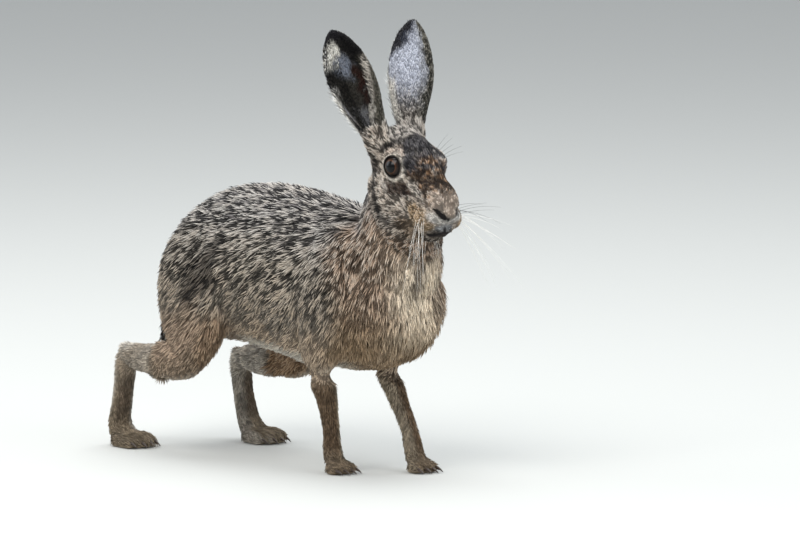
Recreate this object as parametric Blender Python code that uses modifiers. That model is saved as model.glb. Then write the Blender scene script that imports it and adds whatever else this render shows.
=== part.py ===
"""A life-size brown hare that walks with its head up, as a museum shows one, in named solids.

Metres, +Z up. The hare faces +X and its left side is +Y. It is laid out from a point on the floor under the
middle of its back, fused from lofts along the spine, neck, head and legs, and then parted with thin cuts.
At the end it is moved so that the origin is the bottom centre of its bounding box.
"""

import math

import bmesh
import bpy
from mathutils import Matrix, Vector

COLLECTION_NAME = "brown_hare"
GAP = 0.0003
VOXEL = 0.0020
SMOOTH_STEPS = 7
SMOOTH_SHARE = 0.5
FLESH_TRIANGLES = 6600
HEAD_SHARE = 0.2
DETAIL_FACTOR = 0.00003
# Where the head's finer part starts, along and up its frame
HEAD_FROM = (-0.03, -0.055)

# Spine: x, height of the back, height of the belly, half width
TRUNK_ROWS = [
    (-0.1580, 0.166, 0.132, 0.022),
    (-0.1440, 0.195, 0.112, 0.044),
    (-0.1220, 0.2185, 0.101, 0.055),
    (-0.0920, 0.2340, 0.097, 0.059),
    (-0.0550, 0.2420, 0.096, 0.060),
    (-0.0150, 0.2440, 0.092, 0.0565),
    (0.0250, 0.2415, 0.087, 0.0555),
    (0.0600, 0.2365, 0.084, 0.0545),
    (0.0950, 0.2290, 0.085, 0.054),
    (0.1250, 0.2150, 0.091, 0.050),
    (0.1480, 0.1990, 0.105, 0.044),
    (0.1650, 0.1700, 0.128, 0.024),
]

# Limbs and neck: x, y, z, half width, half depth, for the right side where there are two
NECK_ROWS = [
    (0.090, 0, 0.168, 0.048, 0.064),
    (0.120, 0, 0.190, 0.046, 0.056),
    (0.1335, 0, 0.213, 0.039, 0.042),
    (0.132, 0, 0.240, 0.031, 0.033),
    (0.131, 0, 0.262, 0.026, 0.027),
]
TAIL_ROWS = [
    (-0.138, 0, 0.182, 0.010, 0.012),
    (-0.152, 0, 0.166, 0.013, 0.012),
    (-0.1615, 0, 0.141, 0.014, 0.0115),
    (-0.1680, 0, 0.116, 0.014, 0.0115),
    (-0.1755, 0, 0.098, 0.011, 0.0095),
    (-0.1845, 0, 0.086, 0.006, 0.0060),
]
HAUNCH_TOP_ROWS = [
    (-0.090, -0.026, 0.205, 0.020, 0.030),
    (-0.088, -0.036, 0.175, 0.030, 0.047),
    (-0.088, -0.042, 0.140, 0.030, 0.049),
]
SHOULDER_ROWS = [
    (0.088, -0.024, 0.215, 0.018, 0.022),
    (0.092, -0.034, 0.180, 0.026, 0.036),
    (0.090, -0.038, 0.145, 0.026, 0.038),
    (0.080, -0.040, 0.115, 0.021, 0.028),
    (0.070, -0.039, 0.093, 0.014, 0.018),
]

# Each leg's lower lengths: the near ones as the hare steps back, the far ones as it reaches on
HIND_RIGHT = {
    "knee": [
        (-0.084, -0.050, 0.112, 0.025, 0.036),
        (-0.082, -0.055, 0.088, 0.019, 0.023),
        (-0.082, -0.056, 0.073, 0.009, 0.010),
    ],
    "shank": [
        (-0.063, -0.056, 0.092, 0.008, 0.010),
        (-0.078, -0.056, 0.090, 0.016, 0.020),
        (-0.100, -0.057, 0.085, 0.018, 0.023),
        (-0.125, -0.056, 0.080, 0.015, 0.018),
        (-0.150, -0.055, 0.080, 0.012, 0.014),
        (-0.168, -0.055, 0.083, 0.011, 0.011),
    ],
    "foot": [
        (-0.1690, -0.055, 0.090, 0.0092, 0.0092),
        (-0.1745, -0.055, 0.076, 0.0100, 0.0112),
        (-0.1780, -0.055, 0.058, 0.0098, 0.0100),
        (-0.1815, -0.055, 0.038, 0.0104, 0.0090),
        (-0.1845, -0.055, 0.021, 0.0120, 0.0092),
        (-0.1810, -0.055, 0.010, 0.0130, 0.0100),
    ],
    "toes": (-0.181, -0.055),
}
HIND_LEFT = {
    "knee": [
        (-0.070, 0.047, 0.112, 0.025, 0.038),
        (-0.056, 0.050, 0.086, 0.019, 0.023),
        (-0.049, 0.050, 0.073, 0.009, 0.010),
    ],
    "shank": [
        (-0.038, 0.050, 0.086, 0.007, 0.009),
        (-0.052, 0.050, 0.083, 0.015, 0.018),
        (-0.070, 0.051, 0.078, 0.017, 0.020),
        (-0.095, 0.051, 0.074, 0.015, 0.017),
        (-0.120, 0.050, 0.074, 0.012, 0.014),
        (-0.138, 0.050, 0.075, 0.011, 0.011),
    ],
    "foot": [
        (-0.1410, 0.050, 0.081, 0.0092, 0.0092),
        (-0.1435, 0.050, 0.068, 0.0100, 0.0108),
        (-0.1420, 0.050, 0.052, 0.0098, 0.0096),
        (-0.1385, 0.050, 0.035, 0.0104, 0.0088),
        (-0.1335, 0.050, 0.020, 0.0120, 0.0088),
        (-0.1270, 0.050, 0.010, 0.0130, 0.0100),
    ],
    "toes": (-0.127, 0.050),
}
FORE_RIGHT = {
    "arm": [
        (0.068, -0.038, 0.100, 0.0125, 0.0175),
        (0.073, -0.036, 0.080, 0.0112, 0.0130),
        (0.077, -0.033, 0.058, 0.0092, 0.0098),
        (0.079, -0.031, 0.035, 0.0082, 0.0082),
        (0.079, -0.030, 0.020, 0.0090, 0.0090),
        (0.082, -0.030, 0.009, 0.0100, 0.0088),
    ],
    "toes": (0.082, -0.030),
}
FORE_LEFT = {
    "arm": [
        (0.060, 0.038, 0.105, 0.0125, 0.0175),
        (0.075, 0.036, 0.085, 0.0110, 0.0125),
        (0.092, 0.033, 0.063, 0.0090, 0.0095),
        (0.110, 0.031, 0.038, 0.0082, 0.0080),
        (0.117, 0.030, 0.022, 0.0090, 0.0090),
        (0.121, 0.030, 0.009, 0.0100, 0.0088),
    ],
    "toes": (0.121, 0.030),
}

# Toes: count, spread across the foot, length, radius; claws: length, radius
HIND_TOES = {"count": 4, "spread": 0.021, "length": 0.034, "radius": 0.0062}
FORE_TOES = {"count": 4, "spread": 0.017, "length": 0.018, "radius": 0.0050}
# How much shorter the outer toes are, how far their tips turn out, and each toe's rows: share of its reach and
# its height, half width and half depth as shares of its radius
TOE_ARCH = 0.55
TOE_SPLAY = 0.25
TOE_ROWS = [(0.0, 0.95, 0.90, 1.20), (0.55, 1.00, 1.00, 1.25), (0.90, 0.75, 0.85, 0.95), (1.02, 0.62, 0.40, 0.50)]
CLAW_LENGTH = 0.011
CLAW_RADIUS = 0.0013
CLAW_TIP = 0.35
CLAW_HEIGHT = 0.62
CLAW_TILT = math.radians(105)

# Head: a frame at the point between the eyes, f forward along the palate and u up. It is tipped down by HEAD_PITCH
# and turned to the hare's right by HEAD_TURN
HEAD_ORIGIN = Vector((0.157, 0.0, 0.277))
HEAD_PITCH = math.radians(25)
HEAD_TURN = math.radians(-6)
# f, u of the centre, half height, half width
HEAD_ROWS = [
    (-0.0500, -0.0080, 0.0070, 0.0070),
    (-0.0450, -0.0090, 0.0160, 0.0150),
    (-0.0350, -0.0090, 0.0260, 0.0225),
    (-0.0200, -0.0120, 0.0320, 0.0255),
    (-0.0050, -0.0130, 0.0340, 0.0260),
    (0.0100, -0.0160, 0.0325, 0.0243),
    (0.0250, -0.0198, 0.0295, 0.0215),
    (0.0400, -0.0235, 0.0258, 0.0190),
    (0.0520, -0.0258, 0.0210, 0.0165),
    (0.0595, -0.0262, 0.0150, 0.0130),
    (0.0635, -0.0260, 0.0075, 0.0070),
]
# centre f, y, u and radii f, y, u, for the right side
HEAD_BULGES = {
    "cheek": ((-0.006, -0.0153, -0.026), (0.026, 0.0125, 0.019)),
    "orbit": ((0.001, -0.0161, -0.0012), (0.0185, 0.0098, 0.0135)),
    "brow": ((0.004, -0.0176, 0.0075), (0.0150, 0.0062, 0.0050)),
    "bridge": ((0.035, -0.0082, -0.0080), (0.0270, 0.0090, 0.0105)),
    "lip": ((0.0490, -0.0118, -0.0268), (0.0140, 0.0118, 0.0122)),
    "nose": ((0.0575, -0.0036, -0.0174), (0.0078, 0.0078, 0.0066)),
    "chin": ((0.0455, -0.0022, -0.0420), (0.0120, 0.0100, 0.0095)),
}

EYE_RADIUS = 0.0100
EYE_CENTRE = (0.000, -0.0200, -0.0020)
EYE_FACING = Vector((0.27, -1.0, 0.12)).normalized()
LID_OFFSET = 0.0050
LID_RADIUS = 0.0087
LID_THICK = 0.0016
LID_LONG = 1.10

# Nose and mouth: points f, y, u of each groove from the middle to its right end
NOSTRIL_PATH = [
    (0.0654, -0.0012, -0.0192), (0.0650, -0.0050, -0.0174), (0.0615, -0.0092, -0.0148), (0.0566, -0.0122, -0.0128)]
NOSTRIL_RADIUS = 0.0016
LIP_CLEFT_PATH = [(0.0654, 0.0, -0.0190), (0.0641, 0.0, -0.0262), (0.0624, 0.0, -0.0335)]
LIP_CLEFT_RADIUS = 0.0011
MOUTH_PATH = [
    (0.0624, 0.0, -0.0335), (0.0612, -0.0040, -0.0350), (0.0590, -0.0078, -0.0372), (0.0556, -0.0103, -0.0392)]
MOUTH_RADIUS = 0.0011
GROOVE_TAPER = 0.45

# Ears: root, tip and the way the cup opens, in the hare's own axes
EAR_RIGHT = {"root": (0.128, -0.018, 0.295), "tip": (0.094, -0.0460, 0.388), "opens": (0.55, -0.83, 0.05)}
EAR_LEFT = {"root": (0.130, 0.0165, 0.297), "tip": (0.108, 0.0325, 0.393), "opens": (-0.97, 0.25, 0.0)}
EAR_THICK = 0.0026
# share of the length from root to tip, radius of the cup, half angle of its arc in degrees
EAR_ROWS = [
    (-0.06, 0.0098, 150),
    (0.08, 0.0103, 148),
    (0.20, 0.0130, 126),
    (0.32, 0.0164, 102),
    (0.46, 0.0196, 88),
    (0.60, 0.0208, 78),
    (0.74, 0.0198, 70),
    (0.86, 0.0164, 60),
    (0.94, 0.0119, 50),
    (0.985, 0.0070, 42),
    (1.0, 0.0030, 30),
]
EAR_ACROSS = 8
EAR_LEAN = 0.75
EAR_BOW = 0.006
EAR_CUT = 0.10
EAR_FLOOR = 0.0097
EAR_CUTTER = 0.050
# The solid root of an ear: share of the length, and its radius as a share of the cup's outer one
EAR_ROOT_ROWS = [(-0.16, 1.1), (-0.05, 1.15), (0.05, 1.08), (0.12, 1.03)]

# Cuts: where each node is parted from the next
HEAD_CUT = {"at": (0.122, 0, 0.249), "normal": (0.74, 0, 0.67)}
NECK_CUT = {"at": (0.105, 0, 0.203), "normal": (0.53, 0, 0.85)}
CUTTER_SIZE = 0.5
TAIL_BLOCK = ((-0.25, -0.025, 0.05), (-0.1600, 0.025, 0.20))
# A block's two corners for each lower length of a leg, and a drum's x, z, radii and reach across for each upper one
LEG_CUTS = {
    "right": {
        "hind_foot": ((-0.24, -0.09, -0.05), (-0.13, -0.028, 0.068)),
        "hind_shank": ((-0.24, -0.09, 0.04), (-0.120, -0.034, 0.115)),
        "thigh": ((-0.085, 0.130), (0.055, 0.078), -0.036, -0.095),
        "forepaw": ((0.04, -0.08, -0.05), (0.14, -0.005, 0.026)),
        "forearm": ((0.04, -0.08, 0.02), (0.14, -0.005, 0.080)),
        "shoulder": ((0.086, 0.138), (0.040, 0.066), -0.036, -0.095),
    },
    "left": {
        "hind_foot": ((-0.20, 0.028, -0.05), (-0.08, 0.09, 0.060)),
        "hind_shank": ((-0.20, 0.030, 0.03), (-0.090, 0.09, 0.094)),
        "thigh": ((-0.078, 0.130), (0.060, 0.078), 0.036, 0.095),
        "forepaw": ((0.06, 0.005, -0.05), (0.16, 0.08, 0.026)),
        "forearm": ((0.04, 0.005, 0.02), (0.16, 0.08, 0.080)),
        "shoulder": ((0.086, 0.138), (0.040, 0.066), 0.036, 0.095),
    },
}
DRUM_NODES = ("thigh", "shoulder")
FLOOR_BLOCK = ((-0.4, -0.3, -0.1), (0.4, 0.3, 0.0))

COAT_COLOUR = (0.235, 0.185, 0.135)
BACK_COLOUR = (0.155, 0.130, 0.110)
LEG_COLOUR = (0.360, 0.280, 0.200)
EAR_COLOUR = (0.330, 0.300, 0.280)
TAIL_COLOUR = (0.090, 0.080, 0.075)
EYE_COLOUR = (0.060, 0.028, 0.012)


def clear_scene():
    for obj in list(bpy.data.objects):
        bpy.data.objects.remove(obj)


def new_collection(name):
    collection = bpy.data.collections.new(name)
    bpy.context.scene.collection.children.link(collection)
    return collection


def make_material(name, colour, roughness):
    material = bpy.data.materials.new(name)
    material.use_nodes = True
    shader = material.node_tree.nodes["Principled BSDF"]
    shader.inputs["Base Color"].default_value = (*colour, 1)
    shader.inputs["Roughness"].default_value = roughness
    shader.inputs["Metallic"].default_value = 0.0
    return material


def link_mesh(name, mesh):
    obj = bpy.data.objects.new(name, mesh)
    bpy.data.collections[COLLECTION_NAME].objects.link(obj)
    return obj


def object_from(name, bm):
    bm.normal_update()
    bmesh.ops.recalc_face_normals(bm, faces=bm.faces)
    mesh = bpy.data.meshes.new(name)
    bm.to_mesh(mesh)
    bm.free()
    return link_mesh(name, mesh)


def apply_modifiers(obj):
    """Replaces the object's mesh by the evaluated one."""
    depsgraph = bpy.context.evaluated_depsgraph_get()
    depsgraph.update()
    mesh = bpy.data.meshes.new_from_object(obj.evaluated_get(depsgraph))
    obj.modifiers.clear()
    obj.data = mesh
    return obj


def boolean(obj, other, operation):
    modifier = obj.modifiers.new(operation.title(), "BOOLEAN")
    modifier.operation = operation
    modifier.solver = "EXACT"
    modifier.object = other
    return apply_modifiers(obj)


def remove_object(obj):
    bpy.data.objects.remove(obj)


def mirrored(point):
    return (point[0], -point[1], *point[2:])


def between(rows, steps):
    """Rows on a smooth Catmull-Rom curve through the given rows, steps for each span."""
    padded = [rows[0], *rows, rows[-1]]
    made = []
    for before, start, end, after in zip(padded, padded[1:], padded[2:], padded[3:]):
        for step in range(steps):
            t = step / steps
            made.append(tuple(
                0.5 * (2 * b + (c - a) * t + (2 * a - 5 * b + 4 * c - d) * t * t + (3 * b - a - 3 * c + d) * t ** 3)
                for a, b, c, d in zip(before, start, end, after)))
    return [*made, rows[-1]]


def loft(name, rings):
    """A closed body through rings of points that all have the same count."""
    bm = bmesh.new()
    loops = [[bm.verts.new(point) for point in ring] for ring in rings]
    for lower, upper in zip(loops, loops[1:]):
        count = len(lower)
        for i in range(count):
            bm.faces.new((lower[i], lower[(i + 1) % count], upper[(i + 1) % count], upper[i]))
    bm.faces.new(loops[0])
    bm.faces.new(loops[-1])
    return object_from(name, bm)


def ellipse(centre, across, along, half_across, half_along, sides=20):
    turns = [2 * math.pi * i / sides for i in range(sides)]
    return [centre + across * half_across * math.cos(a) + along * half_along * math.sin(a) for a in turns]


def limb(name, rows, steps=4):
    """A body of elliptical sections square to a curved path, each as wide across the hare as its row says."""
    fine = between(rows, steps)
    centres = [Vector(row[:3]) for row in fine]
    rings = []
    for i, row in enumerate(fine):
        heading = (centres[min(i + 1, len(fine) - 1)] - centres[max(i - 1, 0)]).normalized()
        across = (Vector((0, 1, 0)) - heading * heading.y).normalized()
        rings.append(ellipse(centres[i], across, heading.cross(across), row[3], row[4]))
    return loft(name, rings)


def trunk():
    rings = []
    for x, top, bottom, half_width in between(TRUNK_ROWS, 4):
        centre = Vector((x, 0, (top + bottom) / 2))
        rings.append(ellipse(centre, Vector((0, 1, 0)), Vector((0, 0, 1)), half_width, (top - bottom) / 2, 28))
    return loft("trunk", rings)


def head_matrix():
    turn = Matrix.Rotation(HEAD_TURN, 4, "Z") @ Matrix.Rotation(HEAD_PITCH, 4, "Y")
    return Matrix.Translation(HEAD_ORIGIN) @ turn


def ball(name, centre, radii, matrix):
    bm = bmesh.new()
    bmesh.ops.create_uvsphere(bm, u_segments=24, v_segments=16, radius=1.0)
    bm.transform(matrix @ Matrix.Translation(centre) @ Matrix.Diagonal((*radii, 1.0)))
    return object_from(name, bm)


def head_pieces():
    matrix = head_matrix()
    rings = []
    for f, u, half_height, half_width in between(HEAD_ROWS, 4):
        ring = ellipse(Vector((f, 0, u)), Vector((0, 1, 0)), Vector((0, 0, 1)), half_width, half_height, 28)
        rings.append([matrix @ point for point in ring])
    made = [loft("skull", rings)]
    for name, (centre, radii) in HEAD_BULGES.items():
        made.append(ball(name, centre, radii, matrix))
        made.append(ball(name, mirrored(centre), radii, matrix))
    return made


def toe_places(toe_root, sizes):
    """Each toe's reach, and its place across the foot at its root and at its tip."""
    for i in range(sizes["count"]):
        share = i / (sizes["count"] - 1) - 0.5
        side = toe_root[1] + share * sizes["spread"]
        yield sizes["length"] * (1 - TOE_ARCH * share * share), side, side + share * sizes["spread"] * TOE_SPLAY


def toes(name, toe_root, sizes):
    """Round-ended toes side by side, the middle ones reaching furthest."""
    radius = sizes["radius"]
    made = []
    for reach, side, tip_side in toe_places(toe_root, sizes):
        across_at = (side, (side + tip_side) / 2, tip_side, tip_side)
        made.append(limb(name, [
            (toe_root[0] + reach * along, y, radius * height, radius * wide, radius * deep)
            for y, (along, height, wide, deep) in zip(across_at, TOE_ROWS)], 3))
    return made


def flesh_pieces():
    made = [trunk(), limb("neck", NECK_ROWS), limb("tail", TAIL_ROWS), *head_pieces()]
    for side, leg in (("right", HIND_RIGHT), ("left", HIND_LEFT)):
        top = HAUNCH_TOP_ROWS if side == "right" else [mirrored(row) for row in HAUNCH_TOP_ROWS]
        made.append(limb("haunch", [*top, *leg["knee"]]))
        made.append(limb("shank", leg["shank"]))
        made.append(limb("foot", leg["foot"]))
        made += toes("toe", leg["toes"], HIND_TOES)
    for side, leg in (("right", FORE_RIGHT), ("left", FORE_LEFT)):
        made.append(limb("shoulder", SHOULDER_ROWS if side == "right" else [mirrored(r) for r in SHOULDER_ROWS]))
        made.append(limb("arm", leg["arm"]))
        made += toes("toe", leg["toes"], FORE_TOES)
    made += [limb("ear_root", ear_root_rows(ear)) for ear in (EAR_RIGHT, EAR_LEFT)]
    return made


def fuse(pieces):
    """One smooth closed mesh from overlapping pieces, with more of its triangles kept on the head."""
    bm = bmesh.new()
    for piece in pieces:
        bm.from_mesh(piece.data)
        remove_object(piece)
    flesh = object_from("flesh", bm)
    remesh = flesh.modifiers.new("Remesh", "REMESH")
    remesh.mode = "VOXEL"
    remesh.voxel_size = VOXEL
    smooth = flesh.modifiers.new("Smooth", "SMOOTH")
    smooth.iterations = SMOOTH_STEPS
    smooth.factor = SMOOTH_SHARE
    apply_modifiers(flesh)
    group = flesh.vertex_groups.new(name="detail")
    inverse = head_matrix().inverted()
    for vertex in flesh.data.vertices:
        local = inverse @ vertex.co
        on_head = local.x > HEAD_FROM[0] and local.z > HEAD_FROM[1]
        group.add([vertex.index], HEAD_SHARE if on_head else 1.0, "REPLACE")
    triangles = sum(len(polygon.vertices) - 2 for polygon in flesh.data.polygons)
    decimate = flesh.modifiers.new("Decimate", "DECIMATE")
    decimate.ratio = FLESH_TRIANGLES / triangles
    decimate.vertex_group = "detail"
    decimate.vertex_group_factor = DETAIL_FACTOR
    return apply_modifiers(flesh)


def ear_frame(ear):
    """Origin at the ear's root, X to the way the cup opens, Z along the ear to its tip."""
    root = Vector(ear["root"])
    along = Vector(ear["tip"]) - root
    length = along.length
    along.normalize()
    opens = Vector(ear["opens"])
    opens = (opens - along * opens.dot(along)).normalized()
    axes = Matrix((opens, along.cross(opens), along)).transposed()
    return Matrix.Translation(root) @ axes.to_4x4(), length


def ear_root_rows(ear):
    """The solid root of an ear, from inside the head up to the bottom of the cup."""
    matrix, length = ear_frame(ear)
    radius = EAR_ROWS[1][1] + EAR_THICK / 2
    return [
        (*(matrix @ Vector((0, 0, share * length))), radius * size, radius * size) for share, size in EAR_ROOT_ROWS]


def ear(name, sizes):
    """A cupped shell that is nearly a tube at its root, opens to its widest at the middle and ends in a round tip."""
    matrix, length = ear_frame(sizes)
    bm = bmesh.new()
    grid = []
    for share, radius, half_angle in between(EAR_ROWS, 2):
        centre = (radius - EAR_ROWS[0][1]) * EAR_LEAN - EAR_BOW * math.sin(math.pi * max(0.0, share)) ** 2
        row = []
        for i in range(EAR_ACROSS + 1):
            angle = math.radians(half_angle) * (2 * i / EAR_ACROSS - 1)
            row.append(bm.verts.new((
                centre - radius * math.cos(angle), radius * math.sin(angle), share * length)))
        grid.append(row)
    for lower, upper in zip(grid, grid[1:]):
        for i in range(EAR_ACROSS):
            bm.faces.new((lower[i], lower[i + 1], upper[i + 1], upper[i]))
    bmesh.ops.triangulate(bm, faces=bm.faces)
    bm.transform(matrix)
    shell = object_from(name, bm)
    solidify = shell.modifiers.new("Solidify", "SOLIDIFY")
    solidify.thickness = EAR_THICK
    solidify.offset = 0
    apply_modifiers(shell)
    root = limb("ear_floor", [(*row[:3], EAR_FLOOR, EAR_FLOOR) for row in ear_root_rows(sizes)], 2)
    boolean(shell, root, "UNION")
    remove_object(root)
    below = box_beyond(matrix @ Vector((0, 0, EAR_CUT * length + GAP / 2)), -ear_axis(sizes), EAR_CUTTER)
    boolean(shell, below, "DIFFERENCE")
    remove_object(below)
    return keep_largest(shell)


def ear_axis(sizes):
    return (Vector(sizes["tip"]) - Vector(sizes["root"])).normalized()


def box_beyond(point, normal, size):
    """A cube whose near face is centred on the point and which lies on the side that the normal points to."""
    bm = bmesh.new()
    bmesh.ops.create_cube(bm, size=size)
    turn = normal.to_track_quat("Z", "Y").to_matrix().to_4x4()
    bm.transform(Matrix.Translation(Vector(point) + normal * size / 2) @ turn)
    return object_from("cutter", bm)


def block(low, high, grow=0.0):
    """A box between two corners, grown on every side."""
    low, high = Vector(low), Vector(high)
    bm = bmesh.new()
    bmesh.ops.create_cube(bm, size=1.0)
    size = high - low + Vector((1, 1, 1)) * 2 * grow
    bm.transform(Matrix.Translation((low + high) / 2) @ Matrix.Diagonal((*size, 1.0)))
    return object_from("cutter", bm)


def drum(centre, radii, inner, outer, grow=0.0):
    """An oval drum that lies across the hare, between two distances from its middle plane."""
    bm = bmesh.new()
    bmesh.ops.create_cone(bm, cap_ends=True, segments=40, radius1=1.0, radius2=1.0, depth=1.0)
    turn = Matrix.Rotation(math.pi / 2, 4, "X")
    size = Matrix.Diagonal((radii[0] + grow, abs(outer - inner) + 2 * grow, radii[1] + grow, 1.0))
    bm.transform(Matrix.Translation((centre[0], (inner + outer) / 2, centre[1])) @ size @ turn)
    return object_from("cutter", bm)


def keep_largest(obj):
    """Leaves only the mesh's largest closed surface."""
    bm = bmesh.new()
    bm.from_mesh(obj.data)
    unseen = set(bm.verts)
    islands = []
    while unseen:
        stack = [unseen.pop()]
        island = set(stack)
        while stack:
            for edge in stack.pop().link_edges:
                for vertex in edge.verts:
                    if vertex in unseen:
                        unseen.remove(vertex)
                        island.add(vertex)
                        stack.append(vertex)
        islands.append(island)
    largest = max(islands, key=len)
    bmesh.ops.delete(bm, geom=[v for v in bm.verts if v not in largest], context="VERTS")
    bm.to_mesh(obj.data)
    bm.free()
    return obj


def part_off(body, name, make_cutter, *sizes):
    """Moves what is inside a cutter from the body to a node of its own, and leaves the gap between them."""
    node = link_mesh(name, body.data.copy())
    cutter = make_cutter(*sizes)
    boolean(node, cutter, "INTERSECT")
    remove_object(cutter)
    cutter = make_cutter(*sizes, grow=GAP)
    boolean(body, cutter, "DIFFERENCE")
    remove_object(cutter)
    keep_largest(body)
    return keep_largest(node)


def half_space(cut, grow=0.0):
    """All that lies beyond a cut's plane, for a cut that crosses the whole body there."""
    normal = Vector(cut["normal"]).normalized()
    return box_beyond(Vector(cut["at"]) - normal * grow, normal, CUTTER_SIZE)


def tube_cutter(path, radius):
    """A groove's cutter: a tube through points of the head's frame that thins towards its ends."""
    matrix = head_matrix()
    curve = bpy.data.curves.new("groove", "CURVE")
    curve.dimensions = "3D"
    curve.bevel_depth = radius
    curve.bevel_resolution = 1
    curve.use_fill_caps = True
    points = between(path, 3)
    spline = curve.splines.new("POLY")
    spline.points.add(len(points) - 1)
    for i, point in enumerate(points):
        spline.points[i].co = (*(matrix @ Vector(point)), 1)
        spline.points[i].radius = 1.0 - GROOVE_TAPER * (2 * i / (len(points) - 1) - 1) ** 2
    tube = bpy.data.objects.new("groove", curve)
    bpy.data.collections[COLLECTION_NAME].objects.link(tube)
    depsgraph = bpy.context.evaluated_depsgraph_get()
    depsgraph.update()
    mesh = bpy.data.meshes.new_from_object(tube.evaluated_get(depsgraph))
    bm = bmesh.new()
    bm.from_mesh(mesh)
    bmesh.ops.remove_doubles(bm, verts=bm.verts, dist=1e-5)
    remove_object(tube)
    return object_from("groove", bm)


def across(path):
    """A path from its left end, over the middle plane, to its right end."""
    left = [mirrored(point) for point in reversed(path)]
    return left + path[1:] if path[0][1] == 0.0 else left + path


def carve_face(head):
    """Cuts the nostrils, the cleft of the upper lip and the line of the mouth."""
    for path, radius in (
            (across(NOSTRIL_PATH), NOSTRIL_RADIUS), (LIP_CLEFT_PATH, LIP_CLEFT_RADIUS),
            (across(MOUTH_PATH), MOUTH_RADIUS)):
        groove = tube_cutter(path, radius)
        boolean(head, groove, "DIFFERENCE")
        remove_object(groove)
    keep_largest(head)


def eye_place(side):
    """Centre and outward direction of an eye, side -1 for the right and 1 for the left."""
    matrix = head_matrix()
    centre = matrix @ Vector((EYE_CENTRE[0], -side * EYE_CENTRE[1], EYE_CENTRE[2]))
    facing = matrix.to_3x3() @ Vector((EYE_FACING.x, -side * EYE_FACING.y, EYE_FACING.z))
    return centre, facing.normalized()


def add_lids(head, side):
    """An oval rim that stands round the eye, then the socket that the eye sits in."""
    centre, facing = eye_place(side)
    bpy.ops.mesh.primitive_torus_add(
        major_segments=28, minor_segments=10, major_radius=LID_RADIUS, minor_radius=LID_THICK)
    lids = bpy.context.object
    forward = (head_matrix().to_3x3() @ Vector((1, 0, 0.18))).normalized()
    upward = facing.cross(forward).normalized()
    forward = upward.cross(facing).normalized()
    axes = Matrix((forward, upward, facing)).transposed().to_4x4()
    place = Matrix.Translation(centre + facing * LID_OFFSET) @ axes @ Matrix.Diagonal((LID_LONG, 1.0, 1.0, 1.0))
    lids.data.transform(place)
    boolean(head, lids, "UNION")
    remove_object(lids)
    socket = eye("socket", side, EYE_RADIUS + GAP)
    boolean(head, socket, "DIFFERENCE")
    remove_object(socket)
    keep_largest(head)


def eye(name, side, radius=EYE_RADIUS):
    centre, facing = eye_place(side)
    bm = bmesh.new()
    bmesh.ops.create_uvsphere(bm, u_segments=18, v_segments=10, radius=radius)
    bm.transform(Matrix.Translation(centre) @ facing.to_track_quat("Z", "Y").to_matrix().to_4x4())
    return object_from(name, bm)


def add_claws(foot, toe_root, sizes):
    """Short tapered claws that reach down and on from the tip of each toe."""
    for reach, _, tip_side in toe_places(toe_root, sizes):
        bm = bmesh.new()
        bmesh.ops.create_cone(
            bm, cap_ends=True, segments=8, radius1=CLAW_RADIUS, radius2=CLAW_RADIUS * CLAW_TIP, depth=CLAW_LENGTH)
        place = Matrix.Translation((toe_root[0] + reach, tip_side, sizes["radius"] * CLAW_HEIGHT))
        bm.transform(place @ Matrix.Rotation(CLAW_TILT, 4, "Y"))
        claw = object_from("claw", bm)
        boolean(foot, claw, "UNION")
        remove_object(claw)
    return keep_largest(foot)


def part_body(flesh):
    """Divides the fused body into its named parts and returns them."""
    nodes = [part_off(flesh, "head", half_space, HEAD_CUT), part_off(flesh, "tail", block, *TAIL_BLOCK)]
    for side, cuts in LEG_CUTS.items():
        for end, sizes in cuts.items():
            nodes.append(part_off(flesh, f"{end}_{side}", drum if end in DRUM_NODES else block, *sizes))
    nodes.append(part_off(flesh, "neck", half_space, NECK_CUT))
    flesh.name = "torso"
    return {node.name: node for node in [*nodes, flesh]}


def stand_at_origin(objects):
    """Moves everything so that the bounding box's bottom centre is the origin."""
    corners = [obj.matrix_world @ vertex.co for obj in objects for vertex in obj.data.vertices]
    low = Vector(min(c[i] for c in corners) for i in range(3))
    high = Vector(max(c[i] for c in corners) for i in range(3))
    move = Matrix.Translation((-(low.x + high.x) / 2, -(low.y + high.y) / 2, -low.z))
    for obj in objects:
        obj.data.transform(move)


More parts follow.
